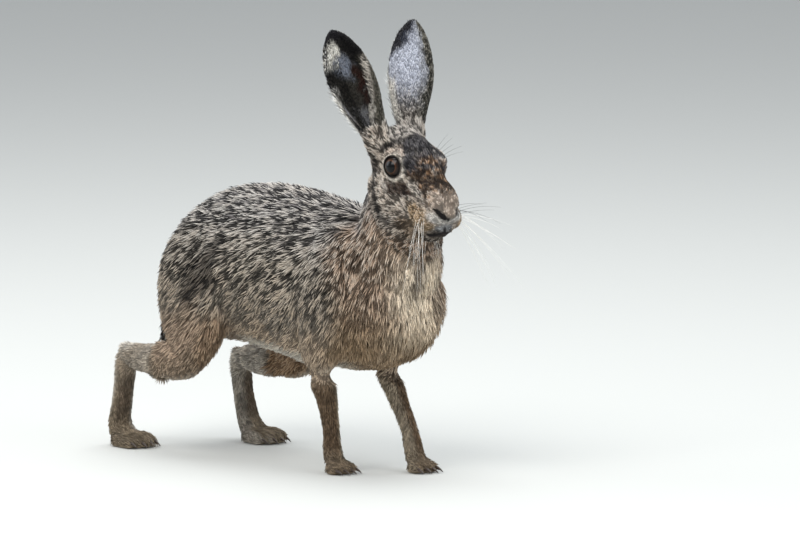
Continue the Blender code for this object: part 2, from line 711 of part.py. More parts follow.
def main():
    clear_scene()
    new_collection(COLLECTION_NAME)
    coat = make_material("coat", COAT_COLOUR, 0.9)
    back = make_material("back_coat", BACK_COLOUR, 0.9)
    legs = make_material("leg_coat", LEG_COLOUR, 0.9)
    ears = make_material("ear_coat", EAR_COLOUR, 0.85)
    tails = make_material("tail_coat", TAIL_COLOUR, 0.9)
    eyes = make_material("eye", EYE_COLOUR, 0.08)

    flesh = fuse(flesh_pieces())
    floor = block(*FLOOR_BLOCK)
    boolean(flesh, floor, "DIFFERENCE")
    remove_object(floor)
    for sizes in (EAR_RIGHT, EAR_LEFT):
        matrix, length = ear_frame(sizes)
        above = box_beyond(matrix @ Vector((0, 0, EAR_CUT * length - GAP / 2)), ear_axis(sizes), EAR_CUTTER)
        boolean(flesh, above, "DIFFERENCE")
        remove_object(above)
    nodes = part_body(flesh)
    carve_face(nodes["head"])
    for side in (-1, 1):
        add_lids(nodes["head"], side)
    add_claws(nodes["hind_foot_right"], HIND_RIGHT["toes"], HIND_TOES)
    add_claws(nodes["hind_foot_left"], HIND_LEFT["toes"], HIND_TOES)
    add_claws(nodes["forepaw_right"], FORE_RIGHT["toes"], FORE_TOES)
    add_claws(nodes["forepaw_left"], FORE_LEFT["toes"], FORE_TOES)
    nodes["ear_right"] = ear("ear_right", EAR_RIGHT)
    nodes["ear_left"] = ear("ear_left", EAR_LEFT)
    nodes["eye_right"] = eye("eye_right", -1)
    nodes["eye_left"] = eye("eye_left", 1)

    looks = {"torso": back, "tail": tails, "ear": ears, "eye": eyes, "head": coat, "neck": coat, "shoulder": coat}
    for name, node in nodes.items():
        node.data.materials.clear()
        node.data.materials.append(looks.get(name.split("_")[0], legs))
        node.data.shade_smooth()
        node.data.set_sharp_from_angle(angle=math.radians(50))
    stand_at_origin(list(nodes.values()))


main()
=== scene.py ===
"""The brown hare's looks: one skin over its flesh, a coat of solid tufts on it, eyes, claws and whiskers.

Places are written in metres from the floor under the middle of the hare's back: +X is forward, +Y to its
left and +Z up, as its source lays it out. LAYOUT_TO_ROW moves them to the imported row's origin.
"""

import math

import bmesh
import bpy
import numpy as np
from mathutils import Matrix, Vector
from mathutils.bvhtree import BVHTree
from mathutils.kdtree import KDTree


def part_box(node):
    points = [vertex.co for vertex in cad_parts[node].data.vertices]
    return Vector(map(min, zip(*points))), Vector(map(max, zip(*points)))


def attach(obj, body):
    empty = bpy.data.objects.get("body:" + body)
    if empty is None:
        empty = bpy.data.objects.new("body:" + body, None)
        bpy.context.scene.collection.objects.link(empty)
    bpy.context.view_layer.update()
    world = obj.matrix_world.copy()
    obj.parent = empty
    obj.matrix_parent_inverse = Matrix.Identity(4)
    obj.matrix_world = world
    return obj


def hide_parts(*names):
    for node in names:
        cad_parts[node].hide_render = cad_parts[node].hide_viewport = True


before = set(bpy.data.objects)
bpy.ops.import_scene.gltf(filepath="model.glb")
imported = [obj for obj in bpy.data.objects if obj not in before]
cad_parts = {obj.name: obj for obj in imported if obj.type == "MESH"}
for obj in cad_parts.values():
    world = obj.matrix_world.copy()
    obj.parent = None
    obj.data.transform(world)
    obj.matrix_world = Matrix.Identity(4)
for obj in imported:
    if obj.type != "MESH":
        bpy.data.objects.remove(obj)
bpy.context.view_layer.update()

# The head's frame: f forward along the palate, s out from the middle plane, u up
HEAD_ORIGIN = np.array([0.157, 0.0, 0.277])
HEAD_PITCH = math.radians(25)
HEAD_TURN = math.radians(-6)
HEAD_AXES = np.array(Matrix.Rotation(HEAD_TURN, 3, "Z") @ Matrix.Rotation(HEAD_PITCH, 3, "Y"))
HEAD_FORWARD, HEAD_LEFT, HEAD_UP = HEAD_AXES.T
EYE_OUT = 0.0200
EYE_UP = -0.0020
EYE_FACING = Vector((0.27, 1.0, 0.12)).normalized()

# Each ear's root, its tip, the way its cup opens, and 1 or -1 for the edge that is its rear one
EARS = {
    "right": ((0.128, -0.018, 0.295), (0.094, -0.0460, 0.388), (0.55, -0.83, 0.05), -1),
    "left": ((0.130, 0.0165, 0.297), (0.108, 0.0325, 0.393), (-0.97, 0.25, 0.0), 1),
}
# Half an ear's width at its ends, and what its middle adds
EAR_END_WIDTH = 0.006
EAR_MIDDLE_WIDTH = 0.015
# The row of pale hairs in the cup: where it starts along the ear and across it, and how fast it crosses over
ROW_START = 0.2
ROW_PLACE = -0.12
ROW_SLOPE = 1.75

# The toes' count, spread across the foot, length and radius, and where each foot's toes grow from: x, y
HIND_TOES = (4, 0.021, 0.034, 0.0062)
FORE_TOES = (4, 0.017, 0.018, 0.0050)
TOES = {
    "hind_right": (-0.181, -0.055, *HIND_TOES),
    "hind_left": (-0.127, 0.050, *HIND_TOES),
    "fore_right": (0.082, -0.030, *FORE_TOES),
    "fore_left": (0.121, 0.030, *FORE_TOES),
}

NODE_SWELL = 0.00028
SKIN_VOXEL = 0.0013
SKIN_SMOOTHING = 5

# Each region: its nodes, its coat's slot, the coat's depth, a tuft's length and width, how many tufts grow on
# a square centimetre, and a tuft's rings
REGIONS = {
    "torso": (("torso",), "back_coat", 0.0060, 0.0140, 0.00145, 36, 3),
    "neck": (("neck",), "coat", 0.0054, 0.0130, 0.00130, 44, 3),
    "shoulder": (("shoulder",), "coat", 0.0050, 0.0130, 0.00135, 40, 3),
    "thigh": (("thigh",), "leg_coat", 0.0050, 0.0125, 0.00135, 38, 3),
    "head": (("head",), "coat", 0.0016, 0.0048, 0.00072, 114, 2),
    "ear": (("ear",), "ear_coat", 0.0003, 0.0032, 0.00082, 82, 2),
    "leg": (("forearm", "hind_shank"), "leg_coat", 0.0018, 0.0062, 0.00085, 76, 2),
    "foot": (("forepaw", "hind_foot"), "leg_coat", 0.0014, 0.0048, 0.00080, 72, 2),
    "tail": (("tail",), "tail_coat", 0.0036, 0.0160, 0.00140, 60, 3),
}
REGION_NAMES = list(REGIONS)
# Clumps to a tuft, where neighbours share their tone and turn
CLUMPS = {"head": 0.16, "ear": 0.45, "leg": 0.25, "foot": 0.25}
BODY_CLUMPS = 0.34
# How far a tuft's root is sunk in the skin
ROOT_SUNK = {"ear": 0.00008, "head": 0.00015, "leg": 0.0002, "foot": 0.0002}
BODY_ROOT_SUNK = 0.0004
# Degrees that a tuft stands off the skin at its root
TUFT_LIFTS = {
    "torso": 29, "neck": 30, "shoulder": 27, "thigh": 26, "ear": 11, "leg": 18, "foot": 18, "tail": 30}
# A tuft's rings from its root: share of its length, and width as a share of its widest
RING_SHAPES = {
    2: ((0.0, 0.80), (0.52, 0.85)),
    3: ((0.0, 0.70), (0.36, 1.00), (0.74, 0.62)),
}
RIDGE_HEIGHT = 0.7
SQUARE_CM = 1e4
MOST_TUFT_TRIANGLES = 190000
# The side of a tuft's own patch on its piece's unwrap
TUFT_PATCH = 0.003
# How far the grain is drawn out along the lie, how much tone a clump shares, and how far along its length a
# tuft of the head takes its colour from
GRAIN_DRAW = 0.85
TONE_SHARED = 0.82
TUFT_COVERS = 0.45
FRINGE_HAIRS = 5200
FRINGE_WIDTH = 0.00024

EYE_RADIUS = 0.0100
IRIS_RADIUS = 0.0084
CORNEA_RISE = 0.05
# The eye's rings: how far out each starts, as a share of the iris, and its colour
EYE_RINGS = (
    (0.00, (1, 1, 2)), (0.61, (1, 1, 2)), (0.65, (78, 47, 24)), (0.70, (50, 30, 18)), (0.80, (34, 21, 14)),
    (0.92, (18, 12, 10)), (0.97, (6, 5, 5)), (1.0, (8, 7, 7)))

# The pads' whiskers on the near side, -1, and on the far one: columns in even and odd rows, the first one's
# heading, its change from column to column and from row to row, its scatter, length and radius
WHISKER_ROWS = 5
PAD_WHISKERS = {
    -1: ((2, 3), (0.46, 0.52, 0.05), 0.16, 0.07, 0.09, 0.056, 0.00010),
    1: ((4, 4), (0.30, 0.86, 0.20), 0.10, 0.02, 0.05, 0.068, 0.00016),
}
WHISKER_TIP = 0.00004
BRISTLES = 5
BROW_BRISTLE_RADIUS = 0.00014
CHIN_BRISTLE_RADIUS = 0.00013

CLAW_REACH = 0.0095
CLAW_RADIUS = 0.0015
CLAW_STEPS = 7

# Camera: the photograph's angle, and 1150 of its pixels to the metre in a frame 800 pixels wide
VIEW_AZIMUTH = 50.0
VIEW_ELEVATION = 7.0
VIEW_DISTANCE = 14.0
VIEW_AIM = (0.135, 0.0, 0.184)
FRAME_WIDTH_METRES = 800 / 1150
SENSOR_MM = 36.0

FLOOR_SIZE = 60
FLOOR_COLOUR = (186, 187, 184)
SKY_COLOUR = (0.86, 0.90, 0.95, 1)
SKY_STRENGTH = 0.72
# Soft lights: name, place, size, power and colour
LIGHTS = (
    ("key", (0.7, -1.7, 2.1), 1.8, 62.0, (1.0, 0.98, 0.95)),
    ("rear", (-1.9, -1.3, 1.1), 1.6, 20.0, (0.97, 0.99, 1.0)),
    ("fill", (2.0, 0.7, 1.0), 1.8, 20.0, (0.93, 0.97, 1.0)),
    ("top", (-0.5, 0.5, 2.6), 2.2, 62.0, (0.97, 0.99, 1.0)),
)

# Primes that scatter a grid corner's numbers and the seed, for the noise
CORNER_PRIMES = np.array([73856093, 19349663, 83492791])
SEED_PRIME = 2654435761
SCATTER_PRIME = 1274126177
WORD = 0xFFFFFFFF


def srgb(red, green, sheen_distance):
    """A colour given as a screen shows it, as linear light."""
    c = np.array([red, green, sheen_distance], float) / 255
    return np.where(c <= 0.04045, c / 12.92, ((c + 0.055) / 1.055) ** 2.4)


def centre_of(node):
    low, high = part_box(node)
    return (low + high) / 2


EYES_MIDDLE = HEAD_ORIGIN + HEAD_UP * EYE_UP
LAYOUT_TO_ROW = np.array((centre_of("eye_right") + centre_of("eye_left")) / 2) - EYES_MIDDLE


def ramp(x, low, high):
    """0 below low, 1 above high and smooth between them."""
    t = np.clip((x - low) / (high - low), 0, 1)
    return t * t * (3 - 2 * t)


def band(x, low, high, soft):
    return ramp(x, low - soft, low + soft) * (1 - ramp(x, high - soft, high + soft))


def unit(vectors):
    return vectors / np.maximum(np.linalg.norm(vectors, axis=-1, keepdims=True), 1e-12)


def over(base, colour, share):
    """The colour laid over the base, by its share at each point."""
    return base + (colour - base) * np.clip(share, 0, 1)[:, None]


def layered(base, *layers):
    """A base colour with others laid over it in turn, each by its name or as an array, with its share."""
    colour = HARE[base] if isinstance(base, str) else base
    for top, share in layers:
        colour = over(colour, HARE[top] if isinstance(top, str) else top, share)
    return colour


def noise(points, size, seed):
    """Smooth noise from 0 to 1 that changes over about the given size."""
    grid = points / size
    corner = np.floor(grid).astype(np.int64)
    t = grid - corner
    t = t * t * (3 - 2 * t)
    total = np.zeros(len(points))
    for i in range(8):
        step = np.array([i & 1, i >> 1 & 1, i >> 2 & 1])
        mixed = np.bitwise_xor.reduce((corner + step) * CORNER_PRIMES, axis=1) ^ seed * SEED_PRIME
        mixed = mixed & WORD
        mixed = (mixed ^ mixed >> 13) * SCATTER_PRIME & WORD
        value = (mixed ^ mixed >> 16 & 0xFFFF) % 65536 / 65535
        total += value * np.prod(np.where(step, t, 1 - t), axis=1)
    return total


def in_head(p):
    """The points in the head's frame, with s as the distance from the middle plane."""
    f, s, u = ((p - HEAD_ORIGIN) @ HEAD_AXES).T
    return f, np.abs(s), u


def ear_axes(side):
    """Root and length of an ear, the way its cup opens, the way to its rear edge, and the way to its tip."""
    root, tip, opens, rear = (np.array(value) for value in EARS[side])
    along = tip - root
    length = np.linalg.norm(along)
    along = along / length
    opens = unit(opens - along * (opens @ along))
    return root, length, opens, rear * np.cross(along, opens), along


def ear_of(p):
    """Which ear each point is nearer to: true for the left one."""
    return p[:, 1] > 0


def in_ear(p, normals):
    """Share of the ear's length, place from its front edge -1 to its rear edge 1, how far the face looks into
    the cup, and the way to the tip."""
    share, rear, inward = np.zeros((3, len(p)))
    along_all = np.zeros((len(p), 3))
    for side in EARS:
        root, length, opens, across, along = ear_axes(side)
        mine = ear_of(p) == (side == "left")
        q = p[mine] - root
        share[mine] = q @ along / length
        bulge = np.clip(np.sin(np.clip(share[mine], 0, 1) * math.pi), 0, 1)
        rear[mine] = q @ across / (EAR_END_WIDTH + EAR_MIDDLE_WIDTH * bulge)
        inward[mine] = normals[mine] @ opens
        along_all[mine] = along
    return share, rear, inward, along_all


def mesh_arrays(mesh):
    points = np.empty(len(mesh.vertices) * 3, np.float32)
    mesh.vertices.foreach_get("co", points)
    normals = np.empty(len(mesh.vertices) * 3, np.float32)
    mesh.vertices.foreach_get("normal", normals)
    return points.reshape(-1, 3).astype(float), normals.reshape(-1, 3).astype(float)


def set_points(mesh, points):
    mesh.vertices.foreach_set("co", points.astype(np.float32).ravel())
    mesh.update()


class Net:
    """The edges of a mesh, along which values spread from point to point."""

    def __init__(self, mesh):
        ends = np.empty(len(mesh.edges) * 2, np.int32)
        mesh.edges.foreach_get("vertices", ends)
        ends = ends.reshape(-1, 2)
        self.here = np.concatenate([ends[:, 0], ends[:, 1]])
        self.there = np.concatenate([ends[:, 1], ends[:, 0]])
        self.count = len(mesh.vertices)
        self.degree = np.maximum(np.bincount(self.here, minlength=self.count), 1)

    def spread(self, values, steps):
        flat = values.reshape(self.count, -1).astype(float)
        for _ in range(steps):
            means = [np.bincount(self.here, weights=c[self.there], minlength=self.count) for c in flat.T]
            flat = 0.4 * flat + 0.6 * (np.stack(means, axis=1) / self.degree[:, None])
        return flat.reshape(values.shape)


def link(name, data):
    obj = bpy.data.objects.new(name, data)
    bpy.context.scene.collection.objects.link(obj)
    return obj


def apply_modifiers(obj):
    depsgraph = bpy.context.evaluated_depsgraph_get()
    depsgraph.update()
    mesh = bpy.data.meshes.new_from_object(obj.evaluated_get(depsgraph))
    obj.modifiers.clear()
    obj.data = mesh


def region_of(node):
    for name, (prefixes, *_) in REGIONS.items():
        if node.startswith(prefixes):
            return name
    return None


FLESH_NODES = [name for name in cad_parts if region_of(name)]


def joined_flesh():
    """One mesh of the flesh nodes, each a little swollen so that the cuts between them close."""
    bm = bmesh.new()
    for name in FLESH_NODES:
        start = len(bm.verts)
        bm.from_mesh(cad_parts[name].data)
        bm.verts.ensure_lookup_table()
        piece = [bm.verts[i] for i in range(start, len(bm.verts))]
        bmesh.ops.remove_doubles(bm, verts=piece, dist=1e-6)
    bm.normal_update()
    for vertex in bm.verts:
        vertex.co += vertex.normal * NODE_SWELL
    mesh = bpy.data.meshes.new("skin")
    bm.to_mesh(mesh)
    bm.free()
    return mesh


def keep_largest(mesh):
    bm = bmesh.new()
    bm.from_mesh(mesh)
    unseen = set(bm.verts)
    largest = set()
    while unseen:
        stack = [unseen.pop()]
        island = set(stack)
        while stack:
            for edge in stack.pop().link_edges:
                for vertex in edge.verts:
                    if vertex in unseen:
                        unseen.remove(vertex)
                        island.add(vertex)
                        stack.append(vertex)
        if len(island) > len(largest):
            largest = island
    bmesh.ops.delete(bm, geom=[v for v in bm.verts if v not in largest], context="VERTS")
    bm.to_mesh(mesh)
    bm.free()


def region_weights(points, net):
    """How much of each region every point belongs to, softened where regions meet."""
    corners, faces, owners = [], [], []
    for name in FLESH_NODES:
        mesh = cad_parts[name].data
        start = len(corners)
        corners += [vertex.co for vertex in mesh.vertices]
        faces += [[start + i for i in polygon.vertices] for polygon in mesh.polygons]
        owners += [REGION_NAMES.index(region_of(name))] * len(mesh.polygons)
    tree = BVHTree.FromPolygons(corners, faces)
    weights = np.zeros((len(points), len(REGION_NAMES)))
    for i, point in enumerate(points):
        weights[i, owners[tree.find_nearest(point)[2]]] = 1
    return net.spread(weights, 14)


def share_of(weights, region):
    """How much each point belongs to a region."""
    return weights[:, REGION_NAMES.index(region)]


def of_region(weights, column):
    """A number from the REGIONS rows, blended by the weights."""
    return weights @ np.array([row[column] for row in REGIONS.values()], float)


def eye_distance(p):
    """How far each point is from the nearer eye's centre, and from the line that the eye looks along."""
    f, s, u = in_head(p)
    out = s - EYE_OUT
    facing = np.array(EYE_FACING)
    reach = np.stack([f, out, u - EYE_UP], axis=1)
    ahead = reach @ facing
    return np.linalg.norm(reach, axis=1), np.linalg.norm(reach - ahead[:, None] * facing, axis=1), ahead


def lie_of(p, normals, weights):
    """The way the coat lies at each point, before it is smoothed."""
    x, _, z = p.T
    n = len(p)
    lie = np.zeros((n, 3))

    def add(region, *vector):
        direction = np.stack([np.broadcast_to(c, n) for c in vector], axis=1)
        lie[:] += share_of(weights, region)[:, None] * unit(direction)

    down = ramp(z, 0.235, 0.13)
    fore = ramp(x, 0.06, 0.13)
    under = ramp(-normals[:, 2], 0.4, 0.9)
    rear = ramp(x, -0.11, -0.16)
    fall = -0.3 - 0.6 * down * (1 - under) - 0.6 * fore - 0.7 * rear
    add("torso", -1 + 0.85 * fore + 0.5 * rear, 0.0, fall)
    add("neck", -0.55 + 0.35 * fore, 0.0, -1.0)
    add("shoulder", -0.42, 0.0, -0.9)
    add("thigh", -0.62, 0.0, -0.75)
    f, _, u = in_head(p)
    side = np.sign((p - HEAD_ORIGIN) @ HEAD_LEFT) * 0.25 * ramp(f, 0.03, 0.06)
    jaw = 0.25 - 1.1 * ramp(u, -0.025, -0.045)
    back = side[:, None] * HEAD_LEFT - HEAD_FORWARD + jaw[:, None] * np.array([0, 0, 1.0])
    add("head", *back.T)
    *_, along = in_ear(p, normals)
    add("ear", *along.T)
    shank = ramp(x, -0.02, -0.06)
    add("leg", -0.9 * shank, 0.0, -1 + 0.75 * shank)
    toes = ramp(z, 0.03, 0.012)
    add("foot", toes, 0.0, -1 + 0.8 * toes)
    add("tail", -0.40, 0.0, -0.9)
    return lie - normals * np.sum(lie * normals, axis=1, keepdims=True)


# The coat's colours, as a screen shows them
HARE = {name: srgb(*rgb) for name, rgb in {
    "back": (116, 112, 111),
    # painted shade in the fold before the haunch
    "hip_fold_shade": (50, 45, 42),
    "flank": (134, 126, 115),
    "flank_low": (170, 152, 132),
    "rump": (200, 192, 182),
    "belly": (214, 208, 196),
    "tawny": (150, 128, 109),
    "tawny_low": (150, 127, 100),
    "chest_front": (238, 222, 198),
    # the throat's dark streak: partly the fur's parting, partly painted shadow under the chin
    "throat": (70, 58, 48),
    "thigh": (154, 134, 115),
    "knee": (144, 126, 107),
    "groin": (150, 118, 86),
    "shank": (142, 129, 112),
    "hock": (204, 198, 188),
    "foot": (140, 126, 106),
    "foot_front": (92, 78, 66),
    "foreleg": (110, 90, 70),
    "foreleg_inner": (168, 156, 136),
    "forehead": (58, 56, 60),
    "ochre": (140, 104, 70),
    "crown": (170, 163, 156),
    "cheek": (162, 151, 139),
    "pale": (200, 192, 182),
    "brow_arc": (178, 163, 150),
    "brow_line": (44, 40, 40),
    "temple": (66, 56, 49),
    "under_eye": (54, 40, 32),
    "bridge": (66, 50, 36),
    "nose": (178, 162, 147),
    "pad": (154, 131, 102),
    "pad_pale": (216, 212, 206),
    "lip": (158, 159, 160),
    # the dark lower lip, with painted shade over the chin below it
    "chin": (52, 46, 42),
    "jaw": (118, 100, 80),
    # painted shadow under the cheek along the jaw line
    "jaw_line_shadow": (50, 46, 44),
    "eye_ring": (232, 225, 212),
    "lid": (20, 16, 15),
    # painted shade inside the nostrils, the cleft and the mouth line
    "slit": (16, 12, 12),
    "ear_outside": (80, 77, 68),
    "ear_rear": (176, 180, 192),
    "ear_base": (108, 102, 96),
    # black hair near the tip with a painted bluish sheen of the sky
    "ear_black_and_sheen": (44, 47, 58),
    "ear_tip": (24, 23, 27),
    "cup_cream": (236, 233, 224),
    # painted highlight: the sky's pale bluish sheen in the ear's cup
    "cup_sky_sheen": (112, 118, 130),
    "cup_olive": (42, 40, 36),
    "cup_core": (38, 20, 14),
    "cup_black": (13, 12, 13),
    "cup_floor": (104, 105, 108),
    "row_cream": (172, 168, 160),
    "tail_black": (34, 31, 30),
    "tail_white": (224, 219, 210),
    "claw": (54, 42, 34),
    # dark underfur, with painted shade between the tufts
    "undercoat_and_shade": (46, 41, 38),
}.items()}
PALE_TIP = srgb(240, 236, 228)
BUFF_TIP = srgb(216, 190, 160)
WHITE_HAIR = srgb(244, 241, 234)

# The slits of the face in the head's frame, from the middle plane out
NOSTRIL = [
    (0.0654, 0.0012, -0.0192), (0.0650, 0.0050, -0.0174),
    (0.0615, 0.0092, -0.0148), (0.0566, 0.0122, -0.0128)]
MOUTH = [
    (0.0624, 0.0, -0.0335), (0.0612, 0.0040, -0.0350),
    (0.0590, 0.0078, -0.0372), (0.0556, 0.0103, -0.0392)]
CLEFT = [(0.0654, 0.0, -0.0190), (0.0641, 0.0, -0.0262), (0.0624, 0.0, -0.0335)]

# The face's patches in order, each laid over the last: colour, path of points f, s, u in mm, radius in mm and
# share
FACE_PATCHES = (
    ("temple", ((-48, 18, 8), (-40, 21, 1), (-31, 23, 1), (-25, 25, -8), (-22, 25, -18)), 8.0, 0.85),
    ("bridge", ((14, 16, 8), (33, 9, 3), (42, 15, -4)), 10.0, 1.0),
    ("bridge", ((33, 0, 3), (42, 0, -2)), 10.0, 0.8),
    ("forehead", ((0, 16, 13), (14, 17, 7)), 7.0, 1.0),
    ("forehead", ((-4, 0, 19), (14, 0, 15)), 14.0, 1.0),
    ("brow_line", ((-19, 25, 5), (-15, 15, 15), (-12, 8, 18)), 2.8, 0.9),
    ("brow_arc", ((-14, 22.7, 6), (-8, 17, 13.5), (4, 21, 10.5)), 2.6, 0.9),
    ("pale", ((6, 21, 9.5), (13.5, 22, 2), (14.5, 22.6, -5)), 1.7, 0.75),
    ("under_eye", ((4, 26, -22), (13.4, 24, -18), (21, 21.8, -14)), 6.6, 1.0),
    ("pale", ((-8, 27, -18), (2, 27, -25)), 3.2, 0.5),
    ("pale", ((22, 19.8, -6.5), (31, 18, -8.5), (40, 17, -10)), 3.0, 0.6),
    ("cheek", ((12, 25.5, -34), (24, 24, -30)), 9.0, 0.5),
    # Painted shadow: a dark line under the cheek along the jaw
    ("jaw_line_shadow", ((-22.6, 24.5, -19), (-6, 31, -36), (7.2, 32.7, -43.2), (20, 30, -46.5)), 3.4, 0.9),
    ("jaw", ((28, 18, -44), (44, 10, -48)), 7.0, 0.8),
    ("pad", ((36, 20, -27), (46, 22, -24), (52, 20, -31)), 8.5, 1.0),
    ("pad", ((36, 17, -37), (48, 14, -38)), 6.5, 0.8),
    ("pad", ((50, 20, -26), (56, 17, -28)), 6.0, 0.9),
    ("nose", ((51, 13, -6), (55, 0, -4), (62, 0, -12)), 7.0, 1.0),
    ("pad_pale", ((57, 15, -20), (61.5, 9, -21), (64.5, 3, -23)), 3.8, 0.85),
    ("lip", ((63.5, 0, -29.5), (61.5, 6, -30)), 3.6, 1.0),
    # Dark lower lip, and painted shade under the mouth and over the chin
    ("chin", ((61, 8, -34), (62, 0, -36)), 2.6, 0.8),
    ("chin", ((61, 0, -40), (58, 8, -39.5)), 4.6, 1.0),
    ("chin", ((54, 0, -46), (50, 5, -47)), 4.4, 0.8),
)

# Dark shade in the fold before the haunch: x, z
HIP_SHADE = [(-0.040, 0.196), (-0.060, 0.170), (-0.070, 0.142)]


def path_distance(points, path):
    """The distance of each point from a broken line."""
    nearest = np.full(len(points), 1e9)
    for start, end in zip(path, path[1:]):
        start, end = np.array(start), np.array(end)
        run = end - start
        t = np.clip((points - start) @ run / (run @ run), 0, 1)
        nearest = np.minimum(nearest, np.linalg.norm(points - start - t[:, None] * run, axis=1))
    return nearest


def body_field(p, normals):
    """The coat's colour over torso, neck, shoulders and thighs, and how grizzled it is."""
    x, y, z = p.T
    mottle = noise(p, 0.018, 3) - 0.5
    height = z + 0.02 * mottle
    # Painted shade in the fold before the haunch: a dark patch over the hip and along HIP_SHADE
    hip_fold_shade = np.hypot((x + 0.062 + 0.01 * mottle) / 0.023, (height - 0.173) / 0.024)
    hip_fold_shade = np.minimum(hip_fold_shade, path_distance(np.column_stack([x, z]), HIP_SHADE) / 0.011 + 0.15)
    haunch = ramp(x, -0.030, -0.055) * ramp(height, 0.150, 0.115)
    inner = ramp(np.sign(y) * normals[:, 1], -0.15, -0.65)
    front = ramp(np.abs(y) + 0.016 * mottle, 0.040, 0.004) * ramp(x, 0.120, 0.155)
    front = front * ramp(height, 0.225, 0.195) * ramp(height, 0.105, 0.150)
    # A dark streak down the throat's middle: partly the fur's parting, partly painted shadow under the chin
    throat_parting_shade = band(y + 0.006, -0.005, 0.005, 0.004) * band(z, 0.165, 0.225, 0.012)
    throat_parting_shade = throat_parting_shade * ramp(normals[:, 0], 0.2, 0.6)
    chest = layered(
        "tawny",
        ("tawny_low", ramp(height, 0.17, 0.12)),
        ("chest_front", 0.95 * front),
        ("throat", 0.8 * throat_parting_shade),
        ("back", ramp(-normals[:, 0], 0.0, 0.6) * ramp(z, 0.20, 0.225)))
    fore_edge = 0.098 + 0.012 * ramp(z, 0.225, 0.16) - 0.014 * ramp(z, 0.14, 0.10)
    tawny = ramp(x + 0.012 * mottle, fore_edge - 0.012, fore_edge + 0.012)
    under = ramp(-normals[:, 2], 0.55, 0.85) * ramp(x, 0.11, 0.06) * (1 - haunch * 0.7)
    colour = layered(
        "flank",
        ("back", ramp(height, 0.175, 0.225)),
        ("flank_low", ramp(height, 0.140, 0.112)),
        ("rump", 0.8 * ramp(x, -0.118, -0.140) * ramp(height, 0.115, 0.14)),
        ("hip_fold_shade", 0.85 * ramp(hip_fold_shade + 0.3 * mottle, 1.25, 0.5)),
        ("thigh", haunch),
        ("knee", haunch * ramp(height, 0.105, 0.085)),
        ("groin", 0.7 * haunch * np.maximum(inner, 0.6 * ramp(normals[:, 0], 0.5, 0.9))),
        (chest, tawny),
        ("belly", under * ramp(height, 0.125, 0.105)))
    grizzle = 0.62 + 0.38 * ramp(height, 0.125, 0.175) - 0.18 * tawny - 0.15 * haunch
    grizzle = grizzle * (1 - 0.55 * front * tawny) * (1 - 0.6 * under)
    return colour * (1 + 0.35 * mottle[:, None]), grizzle


def behind_hock(x, y):
    """The top of each hock: far back on its own leg."""
    return ramp(x, np.where(y > 0, -0.100, -0.150), np.where(y > 0, -0.115, -0.165))


def leg_field(p, normals):
    """The short coat's colour on the lower legs and feet: paler behind and inside, darker down the front."""
    x, y, z = p.T
    behind = ramp(-normals[:, 0], -0.2, 0.7)
    ahead = ramp(normals[:, 0], 0.1, 0.8)
    inner = ramp(np.sign(y) * normals[:, 1], -0.1, -0.7)
    hock_top = 0.8 * ramp(z, 0.082, 0.092) * ramp(normals[:, 2], 0.0, 0.6) * behind_hock(x, y)
    hind = layered(
        "shank",
        ("foot", ramp(z, 0.07, 0.04)),
        ("hock", 0.85 * behind * ramp(z, 0.018, 0.045)),
        ("hock", hock_top),
        ("foot_front", 0.7 * ahead * band(z, 0.025, 0.062, 0.012)),
        ("hock", 0.5 * inner))
    colour = layered(
        "foreleg",
        ("foreleg_inner", 0.8 * inner + 0.35 * behind),
        ("foot", 0.6 * ramp(z, 0.03, 0.012)),
        (hind, ramp(x, 0.0, -0.03)))
    streaks = noise(p * np.array([1, 1, 0.22]), 0.0036, 13) - 0.5
    return colour * (1 + 0.4 * (noise(p, 0.007, 11) - 0.5) + 0.9 * streaks)[:, None]


def tail_field(p, normals):
    """Black above, white at the sides and below."""
    return layered(
        "tail_black",
        ("tail_white", ramp(np.abs(p[:, 1]), 0.0105, 0.0145)),
        ("tail_white", ramp(normals[:, 0], 0.1, 0.4)))


def face_slit(p, local):
    """How far each point lies in the nostrils, cleft or mouth. The far nostril's inner end is faint."""
    s = local[:, 1]
    wedge = band(s, 0.0035, 0.0110, 0.0015)
    far_side = ramp((p - HEAD_ORIGIN) @ HEAD_LEFT, 0.0, 0.0008) * ramp(s, 0.0085, 0.0065)
    slit = ramp(path_distance(local, NOSTRIL) - 0.0012 * wedge, 0.0022, 0.0010) * (1 - 0.85 * far_side)
    slit = np.maximum(slit, ramp(path_distance(local, CLEFT), 0.0023, 0.0011))
    return np.maximum(slit, ramp(path_distance(local, MOUTH), 0.0028, 0.0014))


